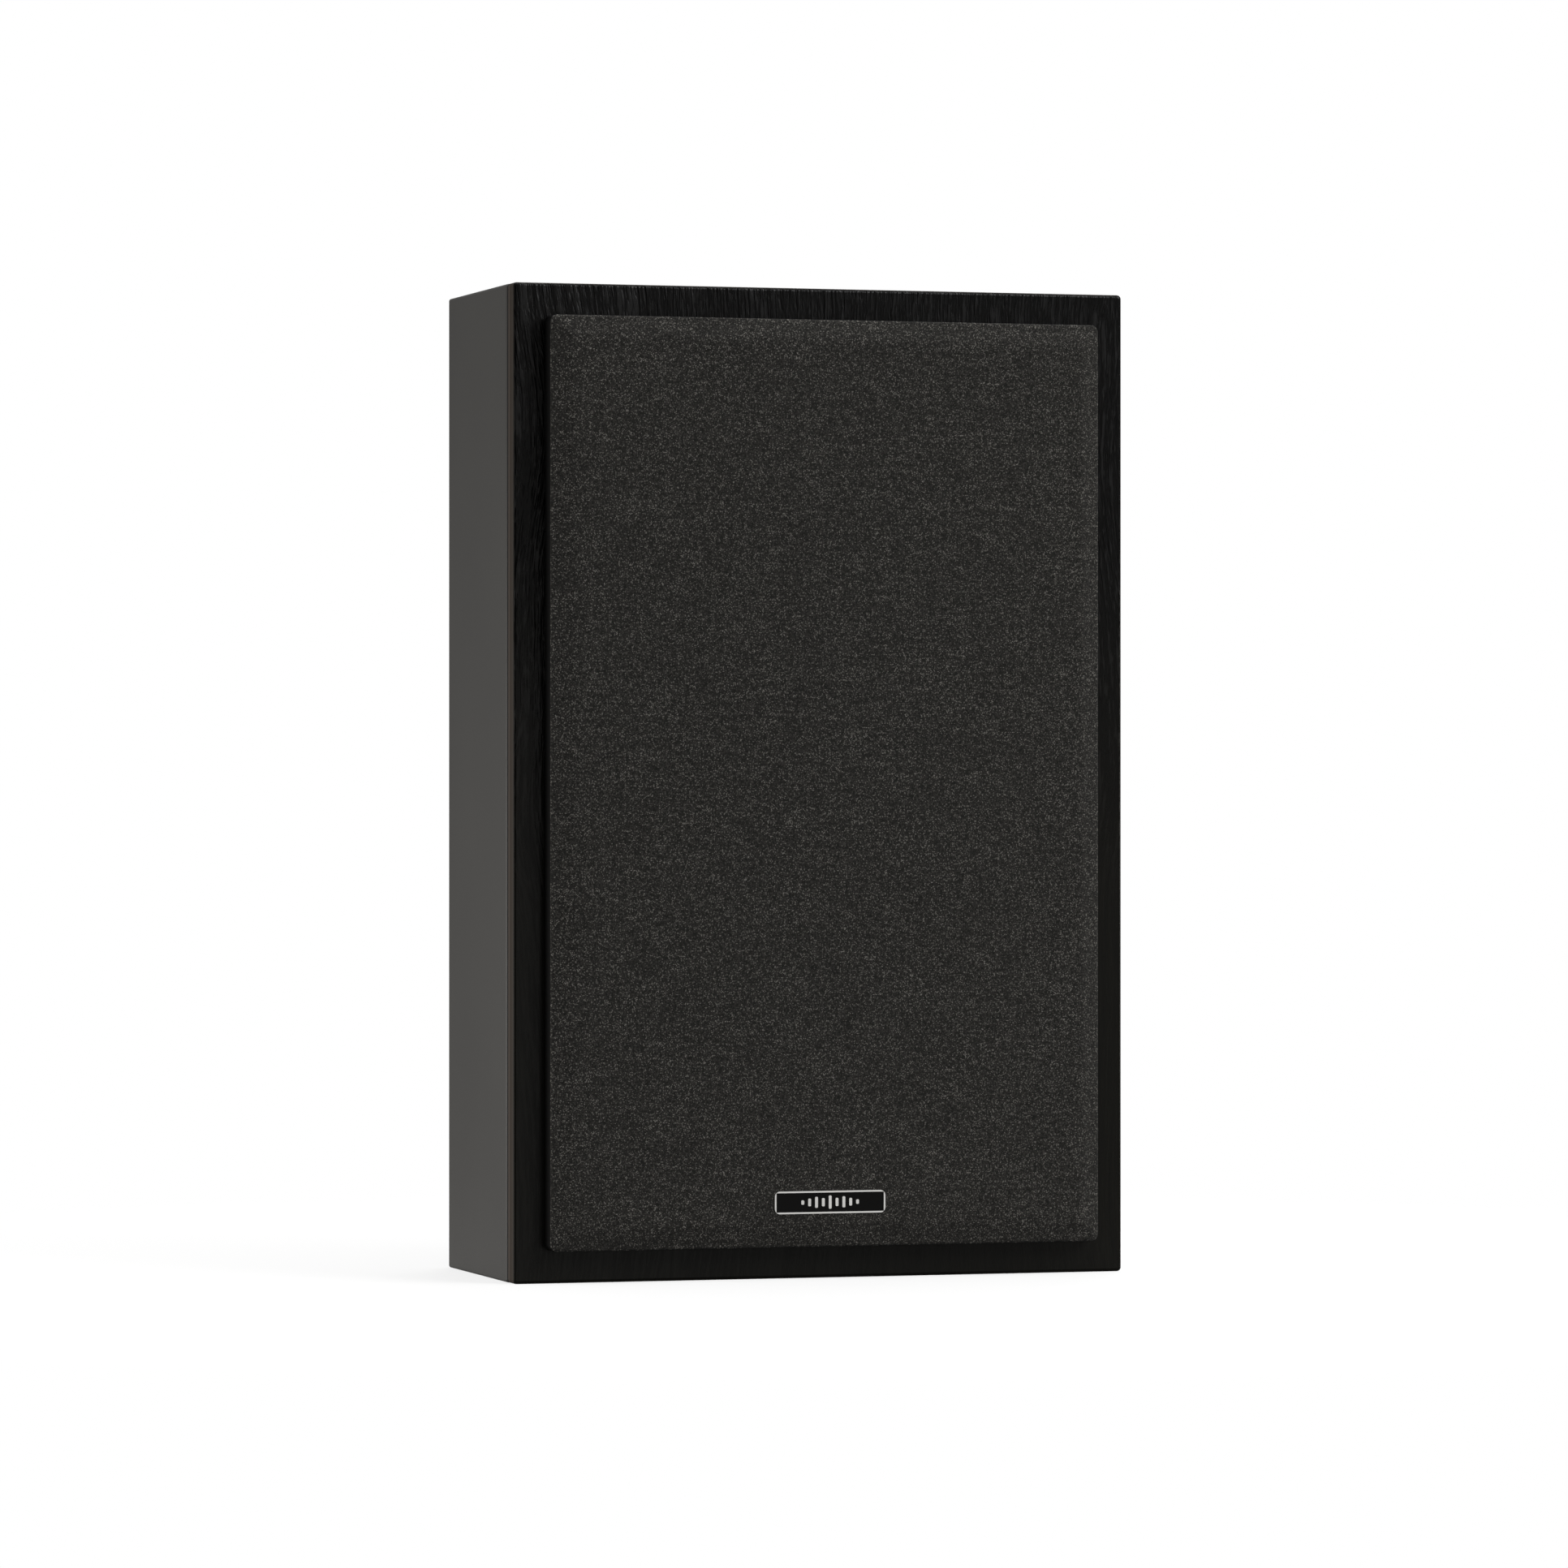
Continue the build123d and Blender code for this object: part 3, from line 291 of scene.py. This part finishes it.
def black_oak():
    """Black laminate with an upright wavy grain and a brown rim whose back edge is painted near black as
    painted shade. Painted light by height: the grain's bright lines, strongest at the top, are painted
    highlights from the light above, and the bottom is painted a warmer, more even tone as a painted warm
    haze.
    """
    s = Surface("black_oak", 0.30, specular=0.12)
    x, y, z = s.axes()
    lines = oak_grain(s)
    # Painted light by height: towards the top the grain's bright lines are painted highlights; towards the
    # bottom a warmer, even tone is a painted warm haze. The bump also deepens towards the top.
    painted_haze_below, painted_highlights_above = 0.13, 0.27
    relief_and_painted_light_by_height = s.between(z, painted_haze_below, painted_highlights_above)
    grain_with_painted_highlights = s.ramp(lines, [(0.43, 0.0001), (0.48, 0.0002), (0.51, 0.0007), (0.54, 0.0040), (0.58, 0.0100)])
    grain_under_painted_haze = s.ramp(lines, [(0.42, (0.0032, 0.0031, 0.0024)), (0.58, (0.0050, 0.0048, 0.0037))])
    # The rim's stripes, from the front edge to the slab's back: black, brown, umber, tan; the last
    # near-black stops are painted shade along the slab's back edge, and everything deeper, in the shadow
    # gap behind it, gets the same painted shade.
    rim = slab_rim(s, x, z)
    rim_depth = 8.5 * MM
    rim_stripes_and_painted_shade = s.ramp(s.between(s.math("SUBTRACT", y, FRONT_Y), 0.0, rim_depth), [
        (0.00, (0.006, 0.006, 0.006)), (0.05, (0.014, 0.012, 0.010)),
        (0.10, (0.036, 0.030, 0.025)), (0.26, (0.038, 0.031, 0.025)),
        (0.32, (0.030, 0.023, 0.018)), (0.52, (0.030, 0.023, 0.018)),
        (0.60, (0.054, 0.044, 0.037)), (0.80, (0.052, 0.042, 0.036)),
        (0.86, (0.010, 0.009, 0.008)), (1.00, (0.006, 0.006, 0.006))])
    s.paint(s.blend(rim, s.blend(relief_and_painted_light_by_height, grain_under_painted_haze, grain_with_painted_highlights), rim_stripes_and_painted_shade))
    rim_roughness = 0.65
    s.set("Roughness", s.blend(rim, s.ramp(lines, [(0.44, 0.30), (0.54, 0.22)]), (rim_roughness,) * 3))
    s.relief(s.bump(s.math("MULTIPLY", lines, s.scaled(relief_and_painted_light_by_height, 0.05, 1.0)), 0.8 * MM))
    return s


def grey_vinyl():
    """Satin dark grey wrap with a very fine leather-like texture."""
    s = Surface("grey_vinyl", 0.46, specular=0.40)
    broad = s.noise(s.place, 12.0, 3.0, 0.6)
    fine = s.noise(s.place, 1500.0, 2.0, 0.6)
    s.paint(s.ramp(broad, [(0.25, (0.052, 0.051, 0.049)), (0.75, (0.058, 0.057, 0.054))]))
    s.set("Roughness", s.scaled(fine, 0.42, 0.52))
    s.relief(s.bump(fine, 0.012 * MM))
    return s


def raw_board(name, tone):
    """MDF: felted fibres, brown and matt."""
    s = Surface(name, 0.85, specular=0.2)
    fibres = s.noise(s.place, 700.0, 4.0, 0.7)
    broad = s.noise(s.place, 20.0)
    mixed = s.weighted((fibres, 0.6), (broad, 0.4))
    s.paint(s.ramp(mixed, [(0.3, toned(tone, 0.7)), (0.7, tone)]))
    s.relief(s.bump(fibres, 0.05 * MM))
    return s


# ---------------------------------------------------------------- materials: grille
THREAD = 0.32 * MM


def acoustic_cloth():
    """Charcoal melange cloth: each thread crossing has its own tone, a few are bright."""
    s = Surface("acoustic_cloth", 0.85, specular=0.15)
    x, _, z = s.axes()
    row = s.math("DIVIDE", z, THREAD)
    column = s.math("DIVIDE", x, THREAD)
    shifted = s.math("ADD", column, s.math("MULTIPLY", s.math("FLOOR", row), 0.5))
    cell = s.node("ShaderNodeCombineXYZ")
    s.feed(cell.inputs[0], s.math("FLOOR", shifted))
    s.feed(cell.inputs[1], s.math("FLOOR", row))
    tone = s.node("ShaderNodeTexWhiteNoise", noise_dimensions="2D")
    s.feed(tone.inputs["Vector"], cell.outputs[0])
    yarn = s.noise(s.stretched(90.0, 90.0, 1500.0))
    cloud = s.noise(s.place, 60.0, 3.0)
    mixed = s.weighted((tone.outputs["Value"], 0.78), (yarn, 0.18), (cloud, 0.06))
    s.paint(s.ramp(mixed, [
        (0.10, (0.0046, 0.0044, 0.0039)), (0.42, (0.0132, 0.0126, 0.0112)),
        (0.62, (0.0240, 0.0229, 0.0204)), (0.80, (0.0500, 0.0478, 0.0430)),
        (0.94, (0.2300, 0.2200, 0.2000))]))
    s.relief(s.bump(s.math("MULTIPLY", s.wave(shifted), s.wave(row)), 0.16 * MM, 0.9))
    s.set("Sheen Weight", 0.04)
    s.set("Sheen Roughness", 0.5)
    return s


def nameplate():
    """A bright satin rim round a dark field."""
    s = Surface("nameplate", 0.32, metallic=1.0)
    x, _, z = s.axes()
    middle = (PLATE_LOW + PLATE_HIGH) / 2
    half = (PLATE_HIGH - PLATE_LOW) / 2
    rim_starts, rim_full = 0.62 * MM, 0.58 * MM
    outside_x = s.between(s.off_centre(x, middle.x), half.x - rim_starts, half.x - rim_full)
    outside_z = s.between(s.off_centre(z, middle.z), half.z - rim_starts, half.z - rim_full)
    rim = s.math("MAXIMUM", outside_x, outside_z)
    fine = s.noise(s.stretched(60.0, 3000.0, 3000.0))
    s.paint(s.blend(rim, (0.010, 0.010, 0.010), (0.80, 0.80, 0.79)))
    s.set("Roughness", s.scaled(fine, 0.28, 0.45))
    s.relief(s.bump(fine, 0.004 * MM))
    return s


# ---------------------------------------------------------------- materials: everything else
def woven(name, colour, pitch):
    """A coarse woven disc, as on a spider."""
    s = Surface(name, 0.9, specular=0.1)
    x, _, z = s.axes()
    weave = s.math("MULTIPLY", s.wave(s.math("DIVIDE", x, pitch)), s.wave(s.math("DIVIDE", z, pitch)))
    s.paint(s.ramp(weave, [(0.1, toned(colour, 0.45)), (0.8, colour)]))
    s.relief(s.bump(weave, 0.1 * MM))
    return s


def circuit_board():
    """Green solder mask over broad copper tracks."""
    s = Surface("circuit_board", 0.35)
    tracks = s.noise(s.place, 55.0, detail=0.0, roughness=0.0)
    edge = s.ramp(tracks, [(0.47, (0.010, 0.075, 0.022)), (0.50, (0.022, 0.13, 0.045))])
    fine = s.noise(s.place, 900.0)
    s.paint(s.blend(s.scaled(fine, 0.0, 0.25), edge, (0.008, 0.05, 0.018)))
    s.relief(s.bump(tracks, 0.05 * MM, 0.4))
    return s


def fibre_fill():
    """White polyester fibre, matted and soft."""
    s = Surface("fibre_fill", 0.95, specular=0.05)
    hairs = s.noise(s.stretched(500.0, 900.0, 500.0), detail=6.0, roughness=0.75, distortion=1.5)
    s.paint(s.ramp(hairs, [(0.3, (0.50, 0.50, 0.48)), (0.7, (0.82, 0.82, 0.79))]))
    s.relief(s.bump(hairs, 0.8 * MM, 0.8))
    s.set("Subsurface Weight", 0.1)
    return s


def dress(surface, *nodes):
    """Put a finished material on CAD nodes."""
    for name in nodes:
        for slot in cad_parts[name].material_slots:
            slot.material = surface.material


def dress_cabinet():
    dress(black_oak(), "front_baffle")
    dress(grey_vinyl(), "side_panel_left", "side_panel_right", "top_panel", "bottom_panel")
    dress(mottled("rear_paint", (0.016, 0.016, 0.0155), 0.62, grain=500.0, depth=0.05), "rear_panel")
    dress(raw_board("brace_board", (0.42, 0.30, 0.19)), "window_brace")


def dress_grille():
    dress(mottled("grille_plastic", (0.002, 0.002, 0.002), 0.55, specular=0.12), "grille_frame")
    dress(nameplate(), "badge_plate")
    dress(brushed("badge_bar", (0.85, 0.85, 0.84), 0.35), "badge_motif")
    nickel = mottled("nickel", (0.60, 0.58, 0.55), 0.22, 1.0, depth=0.004)
    dress(nickel, "grille_magnets", "baffle_magnets")


def dress_drivers():
    powder_coat = mottled("powder_coat", (0.012, 0.012, 0.013), 0.5, grain=1400.0, depth=0.03)
    dress(powder_coat, "woofer_basket")
    foam = mottled("foam", (0.015, 0.015, 0.016), 0.95, grain=1200.0, depth=0.15, specular=0.1)
    dress(foam, "woofer_gasket", "terminal_gasket")
    cone = turned_metal("cone_metal", (0.34, 0.34, 0.35), 0.34, WOOFER, 0.9 * MM)
    dress(cone, "woofer_cone", "woofer_dust_cap")
    dress(mottled("kapton", (0.40, 0.16, 0.03), 0.3, depth=0.002), "woofer_coil_former")
    steel = mottled("zinc_steel", (0.46, 0.46, 0.47), 0.35, 1.0, depth=0.006)
    dress(steel, "woofer_top_plate", "woofer_yoke", "tweeter_top_plate", "tweeter_yoke")
    ferrite = mottled("ferrite", (0.030, 0.030, 0.032), 0.55, 0.1, grain=600.0, depth=0.04)
    dress(ferrite, "woofer_magnet", "tweeter_magnet")
    dress(brushed("tinned_tab", (0.62, 0.60, 0.55), 0.35),
          "woofer_terminals", "tweeter_terminals", "post_tags")
    black_oxide = mottled("black_oxide", (0.030, 0.030, 0.032), 0.38, 0.8, depth=0.01)
    dress(black_oxide, "woofer_screws", "tweeter_screws", "terminal_screws")
    plastic = mottled("satin_plastic", (0.010, 0.010, 0.011), 0.42, grain=1800.0, depth=0.012)
    dress(plastic, "tweeter_faceplate", "tweeter_rear_cup")
    dress(mottled("mesh_paint", (0.012, 0.012, 0.013), 0.4, 0.5, depth=0.006), "tweeter_mesh")
    dome = turned_metal("dome_metal", (0.66, 0.66, 0.67), 0.28, TWEETER, 0.4 * MM, depth=0.002)
    dress(dome, "tweeter_dome")


def dress_crossover():
    dress(circuit_board(), "crossover_board")
    dress(mottled("film_wrap", (0.62, 0.40, 0.05), 0.25, depth=0.004), "crossover_capacitors")
    dress(mottled("cement", (0.72, 0.70, 0.64), 0.85, grain=700.0, depth=0.08), "crossover_resistors")
    dress(mottled("nylon", (0.72, 0.71, 0.66), 0.45, depth=0.01), "crossover_pillars", "cable_clips")
    zinc_plate = mottled("zinc_plate", (0.62, 0.62, 0.63), 0.33, 1.0, grain=300.0, depth=0.01)
    dress(zinc_plate, "crossover_screws", "keyhole_brackets", "keyhole_screws")
    dress(mottled("red_sleeve", (0.45, 0.015, 0.012), 0.4, depth=0.01), "wires_red")
    dress(mottled("black_sleeve", (0.012, 0.012, 0.012), 0.4, depth=0.01), "wires_black")


def dress_rear():
    cup = mottled("cup_plastic", (0.010, 0.010, 0.010), 0.5, grain=1300.0, depth=0.03)
    dress(cup, "terminal_cup")
    post = centre_of("post_knob_red")
    gold = turned_metal("gold_plate", (0.86, 0.60, 0.22), 0.2, post, 0.3 * MM, depth=0.001)
    dress(gold, "binding_posts", "post_nuts", "clamp_washer_red", "clamp_washer_black")
    dress(mottled("red_knob", (0.42, 0.008, 0.006), 0.22, depth=0.004), "post_knob_red")
    dress(mottled("black_knob", (0.008, 0.008, 0.008), 0.22, depth=0.004), "post_knob_black")
    dress(mottled("bumper_rubber", (0.020, 0.020, 0.020), 0.7, depth=0.03), "wall_bumpers")


dress_cabinet()
dress_grille()
dress_drivers()
dress_crossover()
dress_rear()


# ---------------------------------------------------------------- mesh helpers
def mesh_object(name, points, faces, body, smooth_angle=35.0):
    """A new piece from points in metres, shaded smooth except at sharp edges."""
    mesh = bpy.data.meshes.new(name)
    mesh.from_pydata([tuple(p) for p in points], [], faces)
    mesh.validate()
    mesh.shade_smooth()
    mesh.set_sharp_from_angle(angle=math.radians(smooth_angle))
    piece = bpy.data.objects.new(name, mesh)
    bpy.context.scene.collection.objects.link(piece)
    if body:
        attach(piece, body)
    return piece


def lathe(name, outline, centre, body, steps=160, smooth_angle=35.0):
    """A closed outline of (radius, y) in metres, turned about a front-to-back axis."""
    count = len(outline)
    points, faces = [], []
    for i in range(steps):
        turn = 2 * math.pi * i / steps
        for radius, y in outline:
            points.append((centre.x + radius * math.cos(turn), y, centre.z + radius * math.sin(turn)))
    for i in range(steps):
        here, there = i * count, (i + 1) % steps * count
        for k in range(count):
            m = (k + 1) % count
            faces.append((here + k, there + k, there + m, here + m))
    return mesh_object(name, points, faces, body, smooth_angle)


def arc(centre_r, centre_y, radius, start, stop, steps):
    """Points (radius, y) on an arc; angles in degrees, 0 outwards and 90 to the front."""
    points = []
    for i in range(steps + 1):
        angle = math.radians(start + (stop - start) * i / steps)
        points.append((centre_r + radius * math.cos(angle), centre_y - radius * math.sin(angle)))
    return points


def flex(piece):
    """Unparent an annular piece and bake its place into its points."""
    piece.parent = None
    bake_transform(piece)


# ---------------------------------------------------------------- grille cloth
def rounded_loop(half_w, half_h, radius, per_side, per_corner):
    """Points (x, z) round a rounded rectangle about the origin, anticlockwise."""
    points = []
    corners = [(1, 1), (-1, 1), (-1, -1), (1, -1)]
    for k, (sx, sz) in enumerate(corners):
        for i in range(per_corner + 1):
            angle = math.radians(90 * k + 90 * i / per_corner)
            points.append((sx * (half_w - radius) + radius * math.cos(angle),
                           sz * (half_h - radius) + radius * math.sin(angle)))
        nx, nz = corners[(k + 1) % 4]
        end_angle = math.radians(90 * (k + 1))
        here = points[-1]
        there = (nx * (half_w - radius) + radius * math.cos(end_angle),
                 nz * (half_h - radius) + radius * math.sin(end_angle))
        for i in range(1, per_side):
            share = i / per_side
            points.append((here[0] + (there[0] - here[0]) * share,
                           here[1] + (there[1] - here[1]) * share))
    return points


def cloth_rise(inset):
    """How far the cloth stands in front of the baffle, by its distance from the edge."""
    edge, shoulder, top = 6.98 * MM, 7.57 * MM, 9.8 * MM
    hem, bevel, soft = 0.7 * MM, 7.3 * MM, 1.6 * MM
    if inset < hem:
        turn = inset / hem
        return edge + (shoulder - edge) * math.sqrt(1 - (1 - turn) ** 2)
    slope = (top - shoulder) / (bevel - hem)
    past = inset - (bevel - soft)
    if past <= 0:
        return shoulder + slope * (inset - hem)
    if past >= 2 * soft:
        return top
    return top - slope * soft + slope * (past - past * past / (4 * soft))


def make_cloth():
    """The cloth as one stretched sheet: tucked at the rim, up the bevel, then flat."""
    half_w = (CLOTH_HIGH.x - CLOTH_LOW.x) / 2
    half_h = (CLOTH_HIGH.z - CLOTH_LOW.z) / 2
    middle_z = (CLOTH_HIGH.z + CLOTH_LOW.z) / 2
    corner, tightest = 2.2 * MM, 0.8 * MM
    # Loops of points by their distance from the edge, close together where the cloth bends.
    at_the_hem = [0.0, 0.03, 0.1, 0.22, 0.4, 0.7]
    up_the_bevel = [1.2, 2.0, 3.0, 4.2, 5.4, 5.9, 6.4, 6.9, 7.4, 7.9, 8.4, 9.0]
    on_the_flat = [11.0, 14.0, 18.0, 24.0, 32.0, 42.0]
    insets = [value * MM for value in at_the_hem + up_the_bevel + on_the_flat]
    points, faces = [], []
    for inset in insets:
        radius = max(corner - inset / 4, tightest)
        loop = rounded_loop(half_w - inset, half_h - inset, radius, per_side=48, per_corner=6)
        y = FRONT_Y - cloth_rise(inset)
        points += [(x, y, middle_z + z) for x, z in loop]
    count = len(points) // len(insets)
    for k in range(len(insets) - 1):
        for i in range(count):
            j = (i + 1) % count
            faces.append((k * count + i, (k + 1) * count + i, (k + 1) * count + j, k * count + j))
    faces.append(tuple((len(insets) - 1) * count + i for i in reversed(range(count))))
    cloth = mesh_object("grille_cloth_sheet", points, faces, None, 60.0)
    thick = cloth.modifiers.new("thickness", "SOLIDIFY")
    thick.thickness = 0.45 * MM
    thick.offset = -1.0
    cloth.data.materials.append(acoustic_cloth().material)
    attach(cloth, "grille")
    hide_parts("grille_cloth")


make_cloth()


# ---------------------------------------------------------------- flexing parts
ROLL_STEPS = 28


def y_at(depth_mm):
    """The place of a depth behind the baffle's face."""
    return FRONT_Y + depth_mm * MM


RUBBER = mottled("surround_rubber", (0.010, 0.010, 0.010), 0.55, grain=1600.0, depth=0.015, specular=0.35)


def make_surround(name, node, centre, inner, outer, roll_mid, roll_r, flat, thick):
    """A half-roll edge between the frame and the diaphragm. Sizes are in millimetres."""
    roll_mid, roll_r, small_r = roll_mid * MM, roll_r * MM, (roll_r - thick) * MM
    front, back = y_at(flat), y_at(flat + thick)
    outline = [(inner * MM, back), (inner * MM, front)]
    outline += arc(roll_mid, front, roll_r, 180, 0, ROLL_STEPS)
    outline += [(outer * MM, front), (outer * MM, back)]
    outline += arc(roll_mid, back, small_r, 0, 180, ROLL_STEPS)
    piece = lathe(name, outline, centre, None, 192)
    piece.data.materials.append(RUBBER.material)
    flex(piece)
    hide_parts(node)


def make_spider():
    """The corrugated centring disc. Radii and depths are in millimetres."""
    inner, outer = 13.0, 43.2
    first, last = 15.5, 35.1
    level, thick = 27.0, 0.5
    waves, wave = 7, 1.1
    steps = waves * 12
    ridge = []
    for i in range(steps + 1):
        radius = first + (last - first) * i / steps
        ridge.append((radius, level - wave * math.sin(math.pi * waves * i / steps)))
    top = [(inner, level)] + ridge + [(outer, level)]
    outline = [(radius * MM, y_at(depth)) for radius, depth in top]
    outline += [(radius * MM, y_at(depth + thick)) for radius, depth in reversed(top)]
    piece = lathe("spider_disc", outline, WOOFER, None, 160)
    piece.data.materials.append(woven("spider_weave", (0.50, 0.30, 0.10), 0.7 * MM).material)
    flex(piece)
    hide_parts("woofer_spider")


make_surround("woofer_surround_roll", "woofer_surround", WOOFER,
              inner=49.6, outer=66.8, roll_mid=57.5, roll_r=4.5, flat=2.0, thick=0.6)
make_surround("tweeter_surround_roll", "tweeter_surround", TWEETER,
              inner=12.8, outer=19.5, roll_mid=14.6, roll_r=1.6, flat=10.15, thick=0.3)
make_spider()


# ---------------------------------------------------------------- wadding
def fluffed(share, size, middle):
    """A point of the block, by its share of each side from -0.5 to 0.5, pressed in and made lumpy."""
    rim_starts, rim_press = 0.9, 0.45
    edge = max(abs(share.x), abs(share.z)) * 2
    crown = 1.0 - rim_press * max(0.0, (edge - rim_starts) / (1.0 - rim_starts)) ** 2
    place = Vector((share.x * size.x, share.y * size.y * crown, share.z * size.z)) + middle
    large_lumps, small_lumps = 45.0, 160.0
    lump = noise.noise(place * large_lumps) * 0.5 + noise.noise(place * small_lumps) * 0.3
    off = place - middle
    return middle + Vector((off.x * (0.985 + 0.012 * lump),
                            off.y * (0.93 + 0.06 * lump) * 0.94,
                            off.z * (0.98 + 0.015 * lump)))


def make_wadding():
    """A soft, slightly crowned block of fibre that stays inside its CAD space."""
    low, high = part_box("wadding")
    cuts_across, cuts_deep, cuts_up = 48, 3, 28
    mesh = bpy.data.meshes.new("wadding_fibre")
    shape = bmesh.new()
    bmesh.ops.create_cube(shape, size=1.0)
    for axis, cuts in enumerate((cuts_across, cuts_deep, cuts_up)):
        edges = [e for e in shape.edges if abs((e.verts[0].co - e.verts[1].co)[axis]) > 0.5]
        bmesh.ops.subdivide_edges(shape, edges=edges, cuts=cuts, use_grid_fill=True)
    for vertex in shape.verts:
        vertex.co = fluffed(vertex.co, high - low, (low + high) / 2)
    shape.to_mesh(mesh)
    shape.free()
    mesh.shade_smooth()
    piece = bpy.data.objects.new("wadding_fibre", mesh)
    bpy.context.scene.collection.objects.link(piece)
    piece.data.materials.append(fibre_fill().material)
    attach(piece, "root")
    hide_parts("wadding")


make_wadding()


# ---------------------------------------------------------------- windings
COPPER = turned_metal("copper", (0.72, 0.27, 0.10), 0.28, WOOFER, 0.35 * MM, depth=0.002)


def winding(name, body, centre, r_in, r_out, y_from, y_to, turns):
    """A coil whose outside shows its separate turns of wire, each a half round of a few points."""
    per_turn = 5
    pitch = (y_to - y_from) / turns
    bulge = pitch * 0.35
    outline = [(r_in, y_to), (r_in, y_from)]
    for i in range(turns):
        for k in range(per_turn):
            share = k / per_turn
            radius = r_out - bulge + bulge * math.sin(math.pi * share)
            outline.append((radius, y_from + pitch * (i + share)))
    outline.append((r_out - bulge, y_to))
    piece = lathe(name, outline, centre, body, 96, 80.0)
    piece.data.materials.append(COPPER.material)
    return piece


def make_voice_coils():
    """The two voice coils, by name, CAD node, centre, radii in millimetres, turns and body."""
    jobs = (("woofer_winding", "woofer_voice_coil", WOOFER, 13.0, 13.9, 24, "woofer_moving"),
            ("tweeter_winding", "tweeter_voice_coil", TWEETER, 12.5, 13.2, 16, "tweeter_moving"))
    for name, node, centre, r_in, r_out, turns, body in jobs:
        low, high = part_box(node)
        piece = winding(name, body, centre, r_in * MM, r_out * MM, low.y, high.y, turns)
        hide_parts(node)


def make_chokes():
    """The crossover's two coils: the large one below and the small one, less deep, above it."""
    low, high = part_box("crossover_coils")
    large_r, small_r, small_y = 17 * MM, 12 * MM, low.y + 2 * MM
    large = Vector((low.x + large_r, 0, low.z + large_r))
    small = Vector((low.x + large_r, 0, high.z - small_r))
    first = winding("choke_large", "root", large, 7 * MM, large_r, low.y, high.y, 14)
    second = winding("choke_small", "root", small, 5 * MM, small_r, small_y, high.y, 12)
    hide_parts("crossover_coils")


make_voice_coils()
make_chokes()


# ---------------------------------------------------------------- stage and light
def add_floor():
    """A pale round floor, level with the cabinet's underside, that fades into the white."""
    radius, steps, fade_starts = 1.1, 96, 0.10
    turns = [2 * math.pi * i / steps for i in range(steps)]
    rim = [(radius * math.cos(turn), radius * math.sin(turn), 0) for turn in turns]
    floor = mesh_object("floor", rim, [tuple(range(steps))], None)
    s = Surface("floor_paint", 0.9, specular=0.05)
    x, y, _ = s.axes()
    s.paint(s.ramp(s.noise(s.place, 3.0), [(0.0, 0.90), (1.0, 0.93)]))
    reach = s.between(s.distance(x, y), fade_starts, radius)
    s.set("Alpha", s.ramp(reach, [(0.0, 0.26), (0.40, 0.0)]))
    floor.data.materials.append(s.material)


def add_world():
    """White behind the object; the light it gives is strong above and weak at eye level."""
    world = bpy.data.worlds.new("studio")
    bpy.context.scene.world = world
    world.use_nodes = True
    tree = world.node_tree
    tree.nodes.clear()
    place = tree.nodes.new("ShaderNodeTexCoord")
    split = tree.nodes.new("ShaderNodeSeparateXYZ")
    tree.links.new(place.outputs["Generated"], split.inputs[0])
    ramp = tree.nodes.new("ShaderNodeMapRange")
    ramp.inputs["From Min"].default_value = 0.0
    ramp.inputs["From Max"].default_value = 0.8
    ramp.inputs["To Min"].default_value = 0.05
    ramp.inputs["To Max"].default_value = 0.75
    tree.links.new(split.outputs["Z"], ramp.inputs["Value"])
    light = tree.nodes.new("ShaderNodeBackground")
    tree.links.new(ramp.outputs["Result"], light.inputs["Strength"])
    white = tree.nodes.new("ShaderNodeBackground")
    white.inputs["Strength"].default_value = 1.0
    white.inputs["Color"].default_value = (1, 1, 1, 1)
    path = tree.nodes.new("ShaderNodeLightPath")
    mix = tree.nodes.new("ShaderNodeMixShader")
    tree.links.new(path.outputs["Is Camera Ray"], mix.inputs["Fac"])
    tree.links.new(light.outputs[0], mix.inputs[1])
    tree.links.new(white.outputs[0], mix.inputs[2])
    out = tree.nodes.new("ShaderNodeOutputWorld")
    tree.links.new(mix.outputs[0], out.inputs["Surface"])


def add_softbox(name, place, target, width, height, watts, colour=(1, 1, 1)):
    """A rectangular soft light that faces a point."""
    data = bpy.data.lights.new(name, "AREA")
    data.shape = "RECTANGLE"
    data.size = width
    data.size_y = height
    data.energy = watts
    data.color = colour
    lamp = bpy.data.objects.new(name, data)
    bpy.context.scene.collection.objects.link(lamp)
    lamp.location = place
    lamp.rotation_euler = (Vector(target) - Vector(place)).to_track_quat("-Z", "Y").to_euler()


def light_the_stage():
    """A key from the upper right, one overhead, one behind, two weak ones in front, one a side."""
    add_world()
    middle = Vector((0, 0, HEIGHT / 2))
    soft_white, warm = (1.0, 0.98, 0.95), (1.0, 0.96, 0.90)
    add_softbox("key", (1.22, -1.15, 1.22), middle, 1.2, 1.1, 35)
    add_softbox("overhead", (0.0, 0.1, 2.0), (0, 0, 0), 1.2, 1.2, 12)
    add_softbox("rear", (0.9, 1.9, 1.2), middle, 1.2, 1.2, 22)
    add_softbox("left", (-0.78, 0.1, 0.08), (-HALF_W, 0, 0.11), 0.5, 0.2, 4.15, soft_white)
    add_softbox("front", (0.18, -2.0, 0.15), middle, 0.9, 0.95, 2.1, soft_white)
    add_softbox("front_right", (0.98, -1.9, 0.02), middle, 0.40, 0.7, 0.8, warm)
    add_softbox("right", (1.2, -0.35, 0.15), (HALF_W, 0, 0.05), 0.3, 0.3, 2, warm)


add_floor()
light_the_stage()
bpy.context.scene.view_settings.view_transform = "Standard"
bpy.context.scene.view_settings.look = "None"
